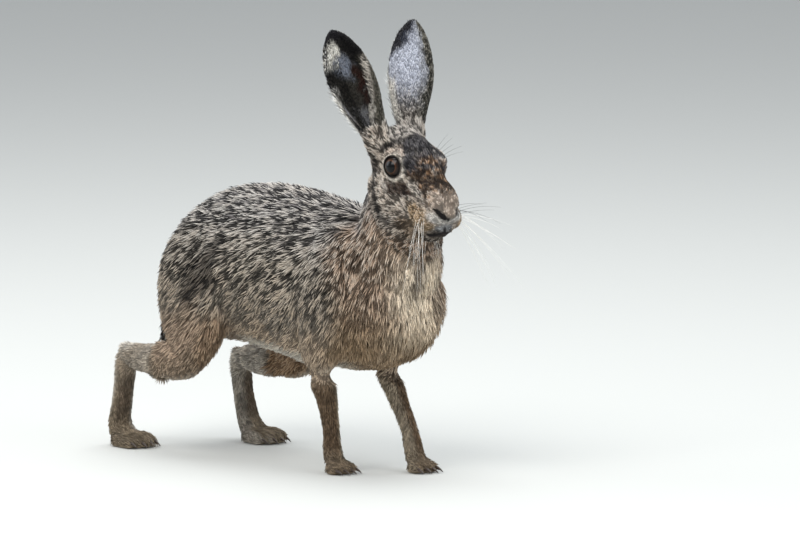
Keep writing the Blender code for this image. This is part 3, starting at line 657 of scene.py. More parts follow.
def head_field(p):
    """Colour, grizzle and bareness of the head."""
    f, s, u = in_head(p)
    local = np.stack([f, s, u], axis=1)
    wobble = noise(p, 0.006, 8) - 0.5
    fleck = noise(p, 0.0030, 9)
    patches = [
        (name, share * ramp(path_distance(local * 1000, path) / radius + 0.60 * wobble, 1.3, 0.65))
        for name, path, radius, share in FACE_PATCHES]
    on_top = ramp(u + 0.45 * f, 0.004, 0.012) * ramp(f, 0.000, 0.012) * ramp(f, 0.054, 0.046)
    patch = ramp(np.hypot((f - 0.021) / 0.008, (s - 0.004) / 0.007), 1.3, 0.6)
    few = 0.65 * ramp(fleck, 0.62, 0.72) * on_top * ramp(f, 0.006, 0.020)
    many = 0.8 * ramp(fleck, 0.46, 0.60) * patch * on_top
    _, beside, ahead = eye_distance(p)
    facing = ramp(ahead, -0.002, 0.003)
    behind_below = ramp(0.5 * f + u, 0.008, -0.004)
    ring = band(beside + 0.0010 * wobble, 0.0107, 0.0124, 0.0006) * facing * (0.30 + 0.65 * behind_below)
    rim = ramp(beside, 0.0105, 0.0098) * facing
    slit = face_slit(p, local)
    colour = layered(
        "cheek",
        ("tawny", ramp(f - 0.3 * u, -0.026, -0.040) * ramp(u, 0.004, -0.010)),
        ("tawny", ramp(u, -0.050, -0.058)),
        ("crown", ramp(u, 0.008, 0.014) * ramp(f, -0.009, -0.017) * ramp(s, 0.022, 0.015)),
        *patches,
        ("ochre", np.maximum(few, many)),
        ("pale", 0.5 * ramp(fleck, 0.70, 0.80) * on_top * ramp(f, 0.020, 0.008)),
        ("eye_ring", ring),
        ("lid", rim),
        # Painted shade: near black inside the nostrils, the cleft and the mouth line
        ("slit", slit))
    grizzle = 0.95 - 0.35 * ramp(f, 0.045, 0.058) - 0.6 * ring
    shade = 0.7 + 0.6 * fleck
    return colour * shade[:, None], grizzle, np.maximum(rim, np.minimum(1, 1.3 * slit))


def ear_field(p, normals):
    """Colour, grizzle and density on the ears, from their edges, length and which face of the shell it is."""
    share, rear, inward, _ = in_ear(p, normals)
    fray = noise(p * np.array([1, 1, 0.5]), 0.0024, 5) - 0.5
    broad = noise(p, 0.0075, 6) - 0.5
    t = share + 0.06 * fray + 0.07 * broad
    r = rear + 0.30 * fray + 0.25 * broad
    outer = layered(
        "ear_rear",
        ("ear_base", ramp(t, 0.50, 0.14)),
        ("ear_outside", ramp(r, -0.28, -0.50)),
        ("ear_outside", 0.45 * ramp(r, 0.30, -0.25)),
        # Black hair below the tip, with a painted bluish sheen of the sky
        ("ear_black_and_sheen", ramp(t + 0.22 * r, 0.84, 1.0) * ramp(r, -0.45, -0.15)),
        ("ear_tip", ramp(t + 0.12 * r, 0.96, 1.04)),
        ("ear_tip", 0.8 * ramp(t, 0.66, 0.76) * ramp(r, 0.78, 0.95)))
    # Painted highlight: a pale bluish sheen of the sky over the cup
    sheen_distance = np.hypot((r - 0.30) / 0.46, (t - 0.70) / 0.13)
    cream = ramp(r + 0.35 * ramp(t, 0.72, 0.88), 0.42, 0.72) * band(t, 0.70, 0.91, 0.05)
    top_black = 0.9 * ramp(t + 0.30 * ramp(r, 0.1, -0.5), 0.78, 0.90) * ramp(r, 0.30, 0.0)
    strands = ramp(noise(np.column_stack([(r + 3 * t) * 0.9, r * 0.16, t * 0.16]), 0.10, 17), 0.30, 0.62)
    row_at = ROW_PLACE - ROW_SLOPE * (t - ROW_START)
    row = ramp(np.abs(r - row_at) / 0.17, 1.25, 0.55) * ramp(t, 0.70, 0.60)
    past_row = ramp(r, row_at - 0.08, row_at - 0.22)
    by_row = 0.85 * ramp(r, row_at + 0.36, row_at + 0.20) * (1 - past_row) * ramp(t, 0.74, 0.64)
    cup = layered(
        "cup_olive",
        # painted highlight of the sky in the cup
        ("cup_sky_sheen", 0.9 * ramp(sheen_distance, 1.25, 0.45)),
        ("cup_cream", cream * (0.45 + 0.55 * strands)),
        ("cup_core", band(r, -0.55, 0.02, 0.14) * band(t, 0.26, 0.66, 0.07)),
        ("cup_black", top_black),
        ("cup_floor", 0.8 * band(r, 0.0, 0.62, 0.15) * ramp(t, 0.34, 0.22)),
        ("cup_black", by_row),
        ("row_cream", row * (0.20 + 0.75 * strands)),
        ("ear_outside", past_row * ramp(t, 0.78, 0.70)),
        ("ear_tip", ramp(t, 0.40, 0.48) * ramp(r, 0.90, 0.98)))
    white_rim = ramp(t, 0.50, 0.42) * ramp(t, 0.06, 0.14) * ramp(rear, 0.80, 0.94)
    colour = layered(
        outer,
        (cup, ramp(inward, -0.05, 0.25)),
        ("ear_tip", ramp(t, 0.89, 0.93) * ramp(inward, -0.3, 0.1)),
        ("ear_tip", ramp(t, 0.96, 0.99)),
        ("tail_white", 0.85 * white_rim))
    outside = ramp(inward, 0.1, -0.2)
    speckled = np.maximum(ramp(r, -0.25, -0.45) * outside, past_row * (1 - outside))
    grizzle = 0.25 + 0.15 * outside + 0.60 * speckled + 0.40 * ramp(t, 0.50, 0.2) * outside
    density = 1 - 0.45 * ramp(inward, 0.0, 0.4) * ramp(np.abs(rear), 0.8, 0.5)
    fleck = 0.78 + 0.44 * noise(p, 0.0013, 15)
    return colour * fleck[:, None], np.clip(grizzle, 0, 1) * (1 - 0.8 * ramp(t, 0.88, 0.94)), density


def markings(p, normals, weights):
    """The coat's own colour at each point, how grizzled it is, and how much of it grows there."""
    w = dict(zip(REGION_NAMES, weights.T))
    body, body_grizzle = body_field(p, normals)
    head, head_grizzle, head_bare = head_field(p)
    ear, ear_grizzle, ear_density = ear_field(p, normals)
    fields = (
        (w["torso"] + w["neck"] + w["shoulder"] + w["thigh"], body, body_grizzle),
        (w["leg"] + w["foot"], leg_field(p, normals), 0.35),
        (w["tail"], tail_field(p, normals), 0.08),
        (w["head"], head, head_grizzle),
        (w["ear"], ear, ear_grizzle))
    colour = sum(share[:, None] * field for share, field, _ in fields)
    grizzle = sum(share * grey for share, _, grey in fields)
    growth = 1 - w["head"] * head_bare - w["ear"] * (1 - ear_density)
    growth = growth * (1 - (w["foot"] > 0.4) * ramp(p[:, 2], 0.0035, 0.0015))
    return np.clip(colour, 0.001, 1), grizzle, np.clip(growth, 0, 1)


def net_unit(net, normals, steps):
    return unit(net.spread(normals, steps))


def build_skin():
    """The skin's mesh at rest in the row's frame, and all that the coat reads from it."""
    skin = link("skin", joined_flesh())
    remesh = skin.modifiers.new("Remesh", "REMESH")
    remesh.mode = "VOXEL"
    remesh.voxel_size = SKIN_VOXEL
    smooth = skin.modifiers.new("Smooth", "SMOOTH")
    smooth.iterations = SKIN_SMOOTHING
    smooth.factor = 0.5
    apply_modifiers(skin)
    keep_largest(skin.data)
    mesh = skin.data
    net = Net(mesh)
    points, normals = mesh_arrays(mesh)
    weights = region_weights(points, net)
    layout = points - LAYOUT_TO_ROW
    lie = lie_of(layout, net_unit(net, normals, 6), weights)
    lie = unit(net.spread(unit(lie), 24))
    distance, _, _ = eye_distance(layout)
    local = np.stack(in_head(layout), axis=1)
    fine = ramp(distance, 0.020, 0.013)
    for slit in (MOUTH, NOSTRIL):
        fine = np.maximum(fine, ramp(path_distance(local, slit), 0.006, 0.002))
    ends = share_of(weights, "torso") * ramp(np.abs(normals[:, 0]), 0.4, 0.9)
    depth = net.spread(of_region(weights, 2) + 0.0012 * ends, 12)
    depth = depth + (0.0002 - depth) * fine
    depth = np.minimum(depth, 0.0006 + np.maximum(points[:, 2], 0) * 0.3)
    set_points(mesh, points - net_unit(net, normals, 4) * depth[:, None])
    return skin, net, weights, lie


def set_attribute(mesh, name, kind, field, values):
    attribute = mesh.attributes.new(name, kind, "POINT")
    attribute.data.foreach_set(field, values.astype(np.float32).ravel())


def set_tint(mesh, colours):
    rgba = np.ones((len(colours), 4))
    rgba[:, :3] = colours
    set_attribute(mesh, "tint", "FLOAT_COLOR", "color", rgba)


def new_material(name, roughness):
    """A material with its node tree and its shader."""
    material = bpy.data.materials.new(name)
    material.use_nodes = True
    shader = material.node_tree.nodes["Principled BSDF"]
    shader.inputs["Roughness"].default_value = roughness
    return material, material.node_tree, shader


def node(tree, kind, values=(), **settings):
    """A new node with its settings, and values for its sockets by name or number."""
    made = tree.nodes.new(kind)
    for name, value in settings.items():
        setattr(made, name, value)
    for socket, value in dict(values).items():
        made.inputs[socket].default_value = value
    return made


def wire(tree, *wires):
    """Links, each from a node's output to a node's input."""
    for start, output, end, entry in wires:
        tree.links.new(start.outputs[output], end.inputs[entry])


def coat_material(name, roughness, grain, bump):
    """A material that takes its colour from the tint attribute and breaks it up with fine grain."""
    material, tree, shader = new_material(name, roughness)
    shader.inputs["Specular IOR Level"].default_value = 0.16
    tint = node(tree, "ShaderNodeAttribute", attribute_name="tint")
    place = node(tree, "ShaderNodeTexCoord")
    lie = node(tree, "ShaderNodeAttribute", attribute_name="lie")
    along = node(tree, "ShaderNodeVectorMath", operation="DOT_PRODUCT")
    drawn = node(tree, "ShaderNodeVectorMath", operation="SCALE")
    shortened = node(tree, "ShaderNodeVectorMath", {1: (-GRAIN_DRAW,) * 3}, operation="MULTIPLY_ADD")
    fine = node(tree, "ShaderNodeTexNoise", {"Scale": grain, "Detail": 3.0})
    shade = node(
        tree, "ShaderNodeMapRange", {"From Min": 0.25, "From Max": 0.75, "To Min": 0.72, "To Max": 1.28})
    mixed = node(tree, "ShaderNodeVectorMath", operation="SCALE")
    relief = node(tree, "ShaderNodeBump", {"Strength": bump, "Distance": 0.0006})
    wire(
        tree,
        (place, "Object", along, 0),
        (lie, "Vector", along, 1),
        (lie, "Vector", drawn, 0),
        (along, "Value", drawn, "Scale"),
        (drawn, "Vector", shortened, 0),
        (place, "Object", shortened, 2),
        (shortened, "Vector", fine, "Vector"),
        (fine, "Fac", shade, "Value"),
        (tint, "Color", mixed, 0),
        (shade, "Result", mixed, "Scale"),
        (mixed, "Vector", shader, "Base Color"),
        (fine, "Fac", relief, "Height"),
        (relief, "Normal", shader, "Normal"))
    return material


def dressed(mesh, material):
    """A new piece of this mesh and material."""
    mesh.materials.append(material)
    piece = link(mesh.name, mesh)
    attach(piece, "root")
    return piece


def finish_skin(skin, net, weights, lie):
    """Dresses the skin, and returns its points and normals and the tufts' colour, grizzle and growth."""
    points, normals = mesh_arrays(skin.data)
    facing = net_unit(net, normals, 3)
    colour, _, growth = markings(points - LAYOUT_TO_ROW, facing, weights)
    furred = growth * (1 - share_of(weights, "ear"))
    # The skin under the tufts is darkened: partly the dark underfur, partly painted shade between the tufts
    set_tint(skin.data, over(colour, HARE["undercoat_and_shade"], 0.60 * furred))
    set_attribute(skin.data, "lie", "FLOAT_VECTOR", "vector", lie)
    skin.data.materials.clear()
    skin.data.materials.append(coat_material("skin_and_short_fur", 0.75, 900.0, 0.5))
    skin.data.shade_smooth()
    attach(skin, "root")
    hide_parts(*FLESH_NODES)
    reach = TUFT_COVERS * of_region(weights, 3) * share_of(weights, "head")
    covered = points + lie * reach[:, None]
    colour, grizzle, clear = markings(covered - LAYOUT_TO_ROW, facing, weights)
    return points, normals, colour, grizzle, np.minimum(growth, clear)


def unwrapped(points, corners):
    """Where each corner of these faces lies on an unwrap of their own shape."""
    used, index = np.unique(corners, return_inverse=True)
    mesh = bpy.data.meshes.new("patch")
    mesh.from_pydata(points[used].tolist(), [], index.reshape(-1, 3).tolist())
    patch = link("patch", mesh)
    bpy.ops.object.select_all(action="DESELECT")
    patch.select_set(True)
    bpy.context.view_layer.objects.active = patch
    mesh.uv_layers.new(name="OFBake")
    bpy.ops.object.mode_set(mode="EDIT")
    bpy.ops.mesh.select_all(action="SELECT")
    bpy.ops.uv.smart_project(angle_limit=1.15, island_margin=0.004, scale_to_bounds=True)
    bpy.ops.object.mode_set(mode="OBJECT")
    uv = np.empty(len(mesh.loops) * 2, np.float32)
    mesh.uv_layers["OFBake"].data.foreach_get("uv", uv)
    bpy.data.objects.remove(patch)
    return uv.reshape(-1, 3, 2)


def triangles_of(mesh):
    mesh.calc_loop_triangles()
    corners = np.empty(len(mesh.loop_triangles) * 3, np.int32)
    mesh.loop_triangles.foreach_get("vertices", corners)
    return corners.reshape(-1, 3)


def tuft_pattern(rings):
    """The triangles of one closed tuft: its root, the bands between its rings, and its tip."""
    pattern = [(2, 1, 0)]
    for ring in range(rings - 1):
        a, b = ring * 3, ring * 3 + 3
        for i in range(3):
            j = (i + 1) % 3
            pattern += [(a + i, a + j, b + j), (a + i, b + j, b + i)]
    last = (rings - 1) * 3
    pattern += [(last + i, last + (i + 1) % 3, last + 3) for i in range(3)]
    return np.array(pattern)


def tuft_mesh(name, roots, ups, lies, spec, colours, patches, rings):
    """Closed tapered three-sided blades as one mesh. spec holds length, half width, first and last lift."""
    length, half_width, lift_first, lift_last = spec
    sides = np.cross(ups, lies)
    layers = []
    uv_layers = []
    shades = []
    position = roots.copy()
    before = 0.0
    for t, width in (*RING_SHAPES[rings], (1.0, 0.0)):
        lift = lift_first + (lift_last - lift_first) * ((before + t) / 2)
        heading = lies * np.cos(lift)[:, None] + ups * np.sin(lift)[:, None]
        position = position + heading * ((t - before) * length)[:, None]
        before = t
        half = int(t >= 0.5)
        shade = colours[half] + (colours[half + 1] - colours[half]) * ((t - half / 2) / 0.5)
        level = TUFT_PATCH * (t - 0.5)
        if width == 0.0:
            layers.append(position[:, None, :])
            uv_layers.append(patches[:, None, :] + np.array([0.0, level]))
            shades.append(shade[:, None, :])
            continue
        top = unit(ups - heading * np.sum(ups * heading, axis=1, keepdims=True))
        across = sides * (half_width * width)[:, None]
        ridge = top * (half_width * width * RIDGE_HEIGHT)[:, None]
        layers.append(np.stack([position - across, position + across, position + ridge], axis=1))
        corners = np.array([[-TUFT_PATCH / 2, level], [TUFT_PATCH / 2, level], [0.0, level]])
        uv_layers.append(patches[:, None, :] + corners)
        shades.append(np.repeat(shade[:, None, :], 3, axis=1))
    points = np.concatenate(layers, axis=1)
    place = np.concatenate(uv_layers, axis=1).reshape(-1, 2)
    shade = np.concatenate(shades, axis=1).reshape(-1, 3)
    starts = np.arange(len(roots)) * points.shape[1]
    faces = (starts[:, None, None] + tuft_pattern(rings)).reshape(-1, 3)
    mesh = bpy.data.meshes.new(name)
    mesh.vertices.add(len(shade))
    mesh.vertices.foreach_set("co", points.astype(np.float32).ravel())
    mesh.loops.add(faces.size)
    mesh.loops.foreach_set("vertex_index", faces.astype(np.int32).ravel())
    mesh.polygons.add(len(faces))
    mesh.polygons.foreach_set("loop_start", np.arange(0, faces.size, 3, dtype=np.int32))
    mesh.polygons.foreach_set("use_smooth", np.ones(len(faces), bool))
    mesh.update(calc_edges=True)
    uv = np.clip(place[faces.ravel()], 0.001, 0.999)
    mesh.uv_layers.new(name="OFBake").data.foreach_set("uv", uv.astype(np.float32).ravel())
    set_tint(mesh, np.clip(shade, 0, 1))
    return mesh


def clumps(roots, spacing, rng):
    """Gives tufts that grow close together one clump number."""
    order = rng.permutation(len(roots))[: max(1, int(len(roots) * spacing))]
    tree = KDTree(len(order))
    for i, index in enumerate(order):
        tree.insert(roots[index], i)
    tree.balance()
    return np.array([tree.find(root)[1] for root in roots]), len(order)


def tuft_colours(colour, grizzle, tone, warm):
    """Root, middle and tip colours: near black, pale-tipped or plain, the stronger the more grizzled."""
    dark = ramp(tone, 0.50, 0.40)[:, None]
    pale = ramp(tone, 0.52, 0.64)[:, None]
    grey = grizzle[:, None]
    tip_pale = PALE_TIP + (BUFF_TIP - PALE_TIP) * warm[:, None]
    bright = 0.20 + 0.66 * ramp(colour.mean(axis=1), 0.035, 0.16)[:, None]
    plain = (colour * 0.95, colour * 1.10)
    dark_to = (colour * 0.13, colour * 0.09)
    pale_to = (colour * 1.25, colour + (tip_pale - colour) * bright)
    made = [colour * (0.55 - 0.20 * grey)]
    for own, low, high in zip(plain, dark_to, pale_to):
        made.append(own + grey * (dark * (low - own) + pale * (high - own)))
    return made


def scattered(points, chosen, growth, per_cm2, rng):
    """Random places on the chosen triangles: which one, and how much of each of its corners."""
    a, b, c = (points[chosen[:, i]] for i in range(3))
    area = np.linalg.norm(np.cross(b - a, c - a), axis=1) / 2
    expected = np.cumsum(area * SQUARE_CM * per_cm2 * growth[chosen].mean(axis=1))
    count = int(expected[-1])
    picks = np.searchsorted(expected, (np.arange(count) + rng.random(count)) / count * expected[-1])
    picks = np.minimum(picks, len(chosen) - 1)
    bary = rng.random((count, 2))
    flip = bary.sum(axis=1) > 1
    bary[flip] = 1 - bary[flip]
    return picks, np.column_stack([1 - bary.sum(axis=1), bary])


def coat_region(region, corners, owner, fields, rng):
    """The tufts of one region as pieces of under the most triangles each."""
    points, normals, colour, grizzle, growth, lie = fields
    _, slot, _, length, width, per_cm2, rings = REGIONS[region]
    chosen = corners[owner == REGION_NAMES.index(region)]
    uv = unwrapped(points, chosen)
    picks, bary = scattered(points, chosen, growth, per_cm2, rng)
    count = len(picks)

    def at(values):
        return np.einsum("ij,ijk->ik", bary, values[chosen[picks]].reshape(count, 3, -1))

    roots = at(points)
    ups = unit(at(normals))
    lies = at(lie)
    patches = np.einsum("ij,ijk->ik", bary, uv[picks])
    clump, clump_count = clumps(roots, CLUMPS.get(region, BODY_CLUMPS), rng)
    shared = rng.random((clump_count, 4))[clump]
    own = rng.random((count, 5))
    turn = np.radians((shared[:, 0] - 0.5) * 30 + (own[:, 0] - 0.5) * 24)
    lies = unit(lies - ups * np.sum(lies * ups, axis=1, keepdims=True))
    lies = lies * np.cos(turn)[:, None] + np.cross(ups, lies) * np.sin(turn)[:, None]
    mixed = TONE_SHARED * shared[:, 1] + (1 - TONE_SHARED) * own[:, 1]
    tone = np.argsort(np.argsort(mixed)) / count
    layout = roots - LAYOUT_TO_ROW
    long = length * (0.75 + 0.45 * own[:, 2]) * tuft_length_factor(region, layout)
    wide = width / 2 * (0.70 + 0.60 * own[:, 3])
    first = np.radians(tuft_lift(region, layout) + 12 * (own[:, 4] - 0.5) + 10 * (shared[:, 2] - 0.5))
    last = np.radians(4 + 12 * (shared[:, 3] - 0.4))
    if region == "foot":
        floor_room = np.maximum(roots[:, 2] - 0.0008, 0.0004)
        long = np.minimum(long, floor_room / np.maximum(-lies[:, 2], 0.05))
    warm = ramp(layout[:, 2], 0.22, 0.13) * 0.7 + 0.3 * shared[:, 2]
    colours = tuft_colours(at(colour), at(grizzle)[:, 0], tone, warm)
    material = coat_material(f"{region}_fur", 0.6, 1500.0, 0.0)
    roots = roots - ups * ROOT_SUNK.get(region, BODY_ROOT_SUNK)
    pieces = math.ceil(count * len(tuft_pattern(rings)) / MOST_TUFT_TRIANGLES)
    for i in range(pieces):
        take = np.arange(i, count, pieces)
        spec = [values[take] for values in (long, wide, first, last)]
        mesh = tuft_mesh(
            f"coat_{region}_{i + 1}", roots[take], ups[take], lies[take], spec,
            [values[take] for values in colours], patches[take], rings)
        dressed(mesh, material)


def tuft_length_factor(region, p):
    """Longer under the chest and belly and behind the eyes, shorter near the feet and on the face."""
    x, _, z = p.T
    if region == "torso":
        low = ramp(z, 0.12, 0.09) * ramp(x, -0.06, 0.04)
        by_arms = ramp(z, 0.118, 0.098) * ramp(x, 0.035, 0.065)
        return (1 + 0.45 * low) * (1 - 0.62 * by_arms)
    if region in ("neck", "shoulder"):
        return 1 - 0.70 * ramp(z, 0.118, 0.088)
    if region == "thigh":
        return 1 - 0.50 * ramp(z, 0.125, 0.080)
    if region == "head":
        f, _, u = in_head(p)
        _, beside, _ = eye_distance(p)
        short = 1 - 0.45 * ramp(f, 0.015, 0.05) * (1 - ramp(u, -0.036, -0.044))
        return short * (1 + 0.5 * ramp(f, -0.012, -0.04)) * (0.45 + 0.55 * ramp(beside, 0.011, 0.018))
    return 1.0


def tuft_lift(region, p):
    """Degrees that a tuft stands off the skin at its root: more behind the eyes than on the face."""
    if region == "head":
        return 15 + 11 * ramp(in_head(p)[0], 0.0, -0.03)
    return TUFT_LIFTS[region]


def build_coat(skin, net, weights, lie):
    points, normals, colour, grizzle, growth = finish_skin(skin, net, weights, lie)
    corners = triangles_of(skin.data)
    owner = np.argmax(weights[corners].sum(axis=1), axis=1)
    fields = (points, net_unit(net, normals, 2), colour, grizzle, growth, lie)
    for i, region in enumerate(REGION_NAMES):
        coat_region(region, corners, owner, fields, np.random.default_rng(40 + i))


def eye_material():
    """Pupil, iris with streaks out from it, dark edge and dark white, by how far out from the middle."""
    material, tree, shader = new_material("eye_surface", 0.30)
    shader.inputs["Specular IOR Level"].default_value = 0.05
    shader.inputs["Coat Weight"].default_value = 0.35
    shader.inputs["Coat Roughness"].default_value = 0.02
    radius = node(tree, "ShaderNodeAttribute", attribute_name="out")
    streak = node(tree, "ShaderNodeAttribute", attribute_name="streak")
    rings = node(tree, "ShaderNodeValToRGB")
    mixed = node(tree, "ShaderNodeVectorMath", operation="SCALE")
    stops = rings.color_ramp.elements
    while len(stops) < len(EYE_RINGS):
        stops.new(0.5)
    for stop, (start, colour) in zip(stops, EYE_RINGS):
        stop.position = start
        stop.color = (*srgb(*colour), 1)
    wire(
        tree,
        (radius, "Fac", rings, "Fac"),
        (rings, "Color", mixed, 0),
        (streak, "Fac", mixed, "Scale"),
        (mixed, "Vector", shader, "Base Color"))
    return material


def build_eyes():
    material = eye_material()
    for side, sign in (("right", -1), ("left", 1)):
        centre = centre_of(f"eye_{side}")
        facing = Vector(HEAD_AXES @ (EYE_FACING.x, sign * EYE_FACING.y, EYE_FACING.z))
        bm = bmesh.new()
        bmesh.ops.create_uvsphere(bm, u_segments=72, v_segments=60, radius=EYE_RADIUS)
        mesh = bpy.data.meshes.new(f"eyeball_{side}")
        bm.to_mesh(mesh)
        bm.free()
        points, _ = mesh_arrays(mesh)
        out = np.hypot(points[:, 0], points[:, 1]) / IRIS_RADIUS
        out = np.where(points[:, 2] > 0, out, 1.5)
        angle = np.arctan2(points[:, 1], points[:, 0])
        round_points = np.column_stack([np.cos(angle) * 5, np.sin(angle) * 5, out * 1.5])
        set_attribute(mesh, "out", "FLOAT", "value", np.clip(out, 0, 1))
        set_attribute(mesh, "streak", "FLOAT", "value", 0.72 + 0.56 * noise(round_points, 0.45, 21))
        cornea = 1 + CORNEA_RISE * ramp(out, 1.05, 0.2)
        points[:, 2] = np.where(points[:, 2] > 0, points[:, 2] * cornea, points[:, 2])
        turn = facing.to_track_quat("Z", "Y").to_matrix()
        set_points(mesh, points @ np.array(turn).T + np.array(centre))
        mesh.shade_smooth()
        ball = dressed(mesh, material)
        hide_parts(f"eye_{side}")


def tube(points, radii, sides=5):
    """Corner points and faces of a closed tapered tube along a path."""
    points = np.asarray(points, float)
    heading = unit(np.gradient(points, axis=0))
    side = unit(np.cross(heading, np.array([0.1, 0.2, 1.0])))
    up = np.cross(side, heading)
    turns = np.arange(sides) / sides * 2 * math.pi
    rings = (points[:, None] + np.asarray(radii)[:, None, None] * (
        side[:, None] * np.cos(turns)[None, :, None] + up[:, None] * np.sin(turns)[None, :, None]))
    faces = [tuple(range(sides))[::-1]]
    for r in range(len(points) - 1):
        for i in range(sides):
            j = (i + 1) % sides
            faces.append((r * sides + i, r * sides + j, (r + 1) * sides + j, (r + 1) * sides + i))
    last = (len(points) - 1) * sides
    faces.append(tuple(last + i for i in range(sides)))
    return rings.reshape(-1, 3), faces


def joined_tubes(name, paths, material):
    """One piece of tubes, each given by its path, radii and sides."""
    points, faces = [], []
    for path, radii, sides in paths:
        start = sum(len(p) for p in points)
        new_points, new_faces = tube(path, radii, sides)
        points.append(new_points)
        faces += [tuple(start + i for i in face) for face in new_faces]
    mesh = bpy.data.meshes.new(name)
    mesh.from_pydata(np.concatenate(points).tolist(), [], faces)
    mesh.validate()
    mesh.shade_smooth()
    dressed(mesh, material)


def plain_material(name, colour, roughness, grain=0.0):
    """A material of one colour, broken up by noise where it has a grain."""
    material, tree, shader = new_material(name, roughness)
    if not grain:
        shader.inputs["Base Color"].default_value = (*colour, 1)
        return material
    place = node(tree, "ShaderNodeTexCoord")
    fine = node(tree, "ShaderNodeTexNoise", {"Scale": grain})
    tints = node(tree, "ShaderNodeValToRGB")
    for stop, factor in zip(tints.color_ramp.elements, (0.7, 1.3)):
        stop.color = (*(np.asarray(colour) * factor), 1)
    wire(
        tree,
        (place, "Object", fine, "Vector"),
        (fine, "Fac", tints, "Fac"),
        (tints, "Color", shader, "Base Color"))
    return material


def curve_path(start, direction, length, droop, steps=9):
    """A path that sets off in a direction and bends down by the droop over its length."""
    t = np.linspace(0, 1, steps)[:, None]
    fall = np.array([0, 0, -1.0]) * droop * length
    return np.asarray(start) + np.asarray(direction) * length * t + fall * t ** 2


def head_point(f, s, u):
    return HEAD_ORIGIN + LAYOUT_TO_ROW + HEAD_AXES @ (f, s, u)


def whisker(tree, root, heading, length, droop, width):
    """A whisker from the skin nearest the root: its path, radii and sides."""
    root = np.array(tree.find_nearest(root)[0])
    heading = unit(np.asarray(heading, float))
    path = curve_path(root - heading * 0.001, heading, length, droop)
    return path, np.linspace(width, WHISKER_TIP, len(path)), 5


def build_whiskers(skin):
    """White whiskers from the pads, dark ones above them, and bristles over the eyes and under the chin."""
    tree = BVHTree.FromObject(skin, bpy.context.evaluated_depsgraph_get())
    rng = np.random.default_rng(7)
    white, dark = [], []
    for sign, (columns, first, by_column, by_row, scatter, length, radius) in PAD_WHISKERS.items():
        for row in range(WHISKER_ROWS):
            for column in range(columns[row % 2]):
                f = 0.057 - 0.0050 * column + 0.0012 * (row % 2)
                heading = np.array([
                    first[0] - by_column * column, sign * (first[1] - by_row * row), first[2] - 0.28 * row])
                heading = unit(heading) + rng.normal(0, scatter, 3)
                reach = length * (0.75 + 0.35 * rng.random()) * (0.60 + 0.13 * min(row, 3))
                made = whisker(
                    tree, head_point(f, sign * 0.024, -0.0170 - 0.0038 * row), heading, reach,
                    0.10 + 0.18 * rng.random(), radius)
                (dark if row == 0 or (row == 1 and column > 1) else white).append(made)
        for i in range(BRISTLES):
            heading = (0.20 + 0.12 * i, sign * 0.55, 0.85 - 0.1 * i)
            dark.append(whisker(
                tree, head_point(-0.004 + 0.004 * i, sign * 0.022, 0.012), heading,
                0.014 + 0.007 * rng.random(), 0.15, BROW_BRISTLE_RADIUS))
        for i in range(BRISTLES):
            heading = (0.10, sign * (0.10 + 0.2 * rng.random()), -1.0)
            white.append(whisker(
                tree, head_point(0.050 - 0.004 * i, sign * 0.008, -0.052), heading,
                0.014 + 0.016 * rng.random(), 0.05, CHIN_BRISTLE_RADIUS))
    for name, made, rgb in (("pale", white, (240, 237, 230)), ("dark", dark, (30, 25, 22))):
        material = plain_material(f"whisker_{name}", srgb(*rgb), 0.35, 300.0)
        joined_tubes(f"whiskers_{name}", made, material)


def build_claws():
    """Curved tapered claws from the tips of the toes."""
    material = plain_material("claw_horn", HARE["claw"], 0.35, 700.0)
    for name, (x, y, count, spread, length, radius) in TOES.items():
        paths = []
        for i in range(count):
            share = i / (count - 1) - 0.5
            reach = length * (1 - 0.55 * share * share)
            start = np.array([x + reach * 0.93, y + share * spread * 1.25, radius * 0.85]) + LAYOUT_TO_ROW
            t = np.linspace(0, 1, CLAW_STEPS)
            path = start + np.outer(t, [CLAW_REACH, 0, 0]) - np.outer(t ** 2, [0, 0, radius * 0.60])
            paths.append((path, CLAW_RADIUS * (1 - t ** 1.6 * 0.82), 8))
        joined_tubes(f"claws_{name}", paths, material)


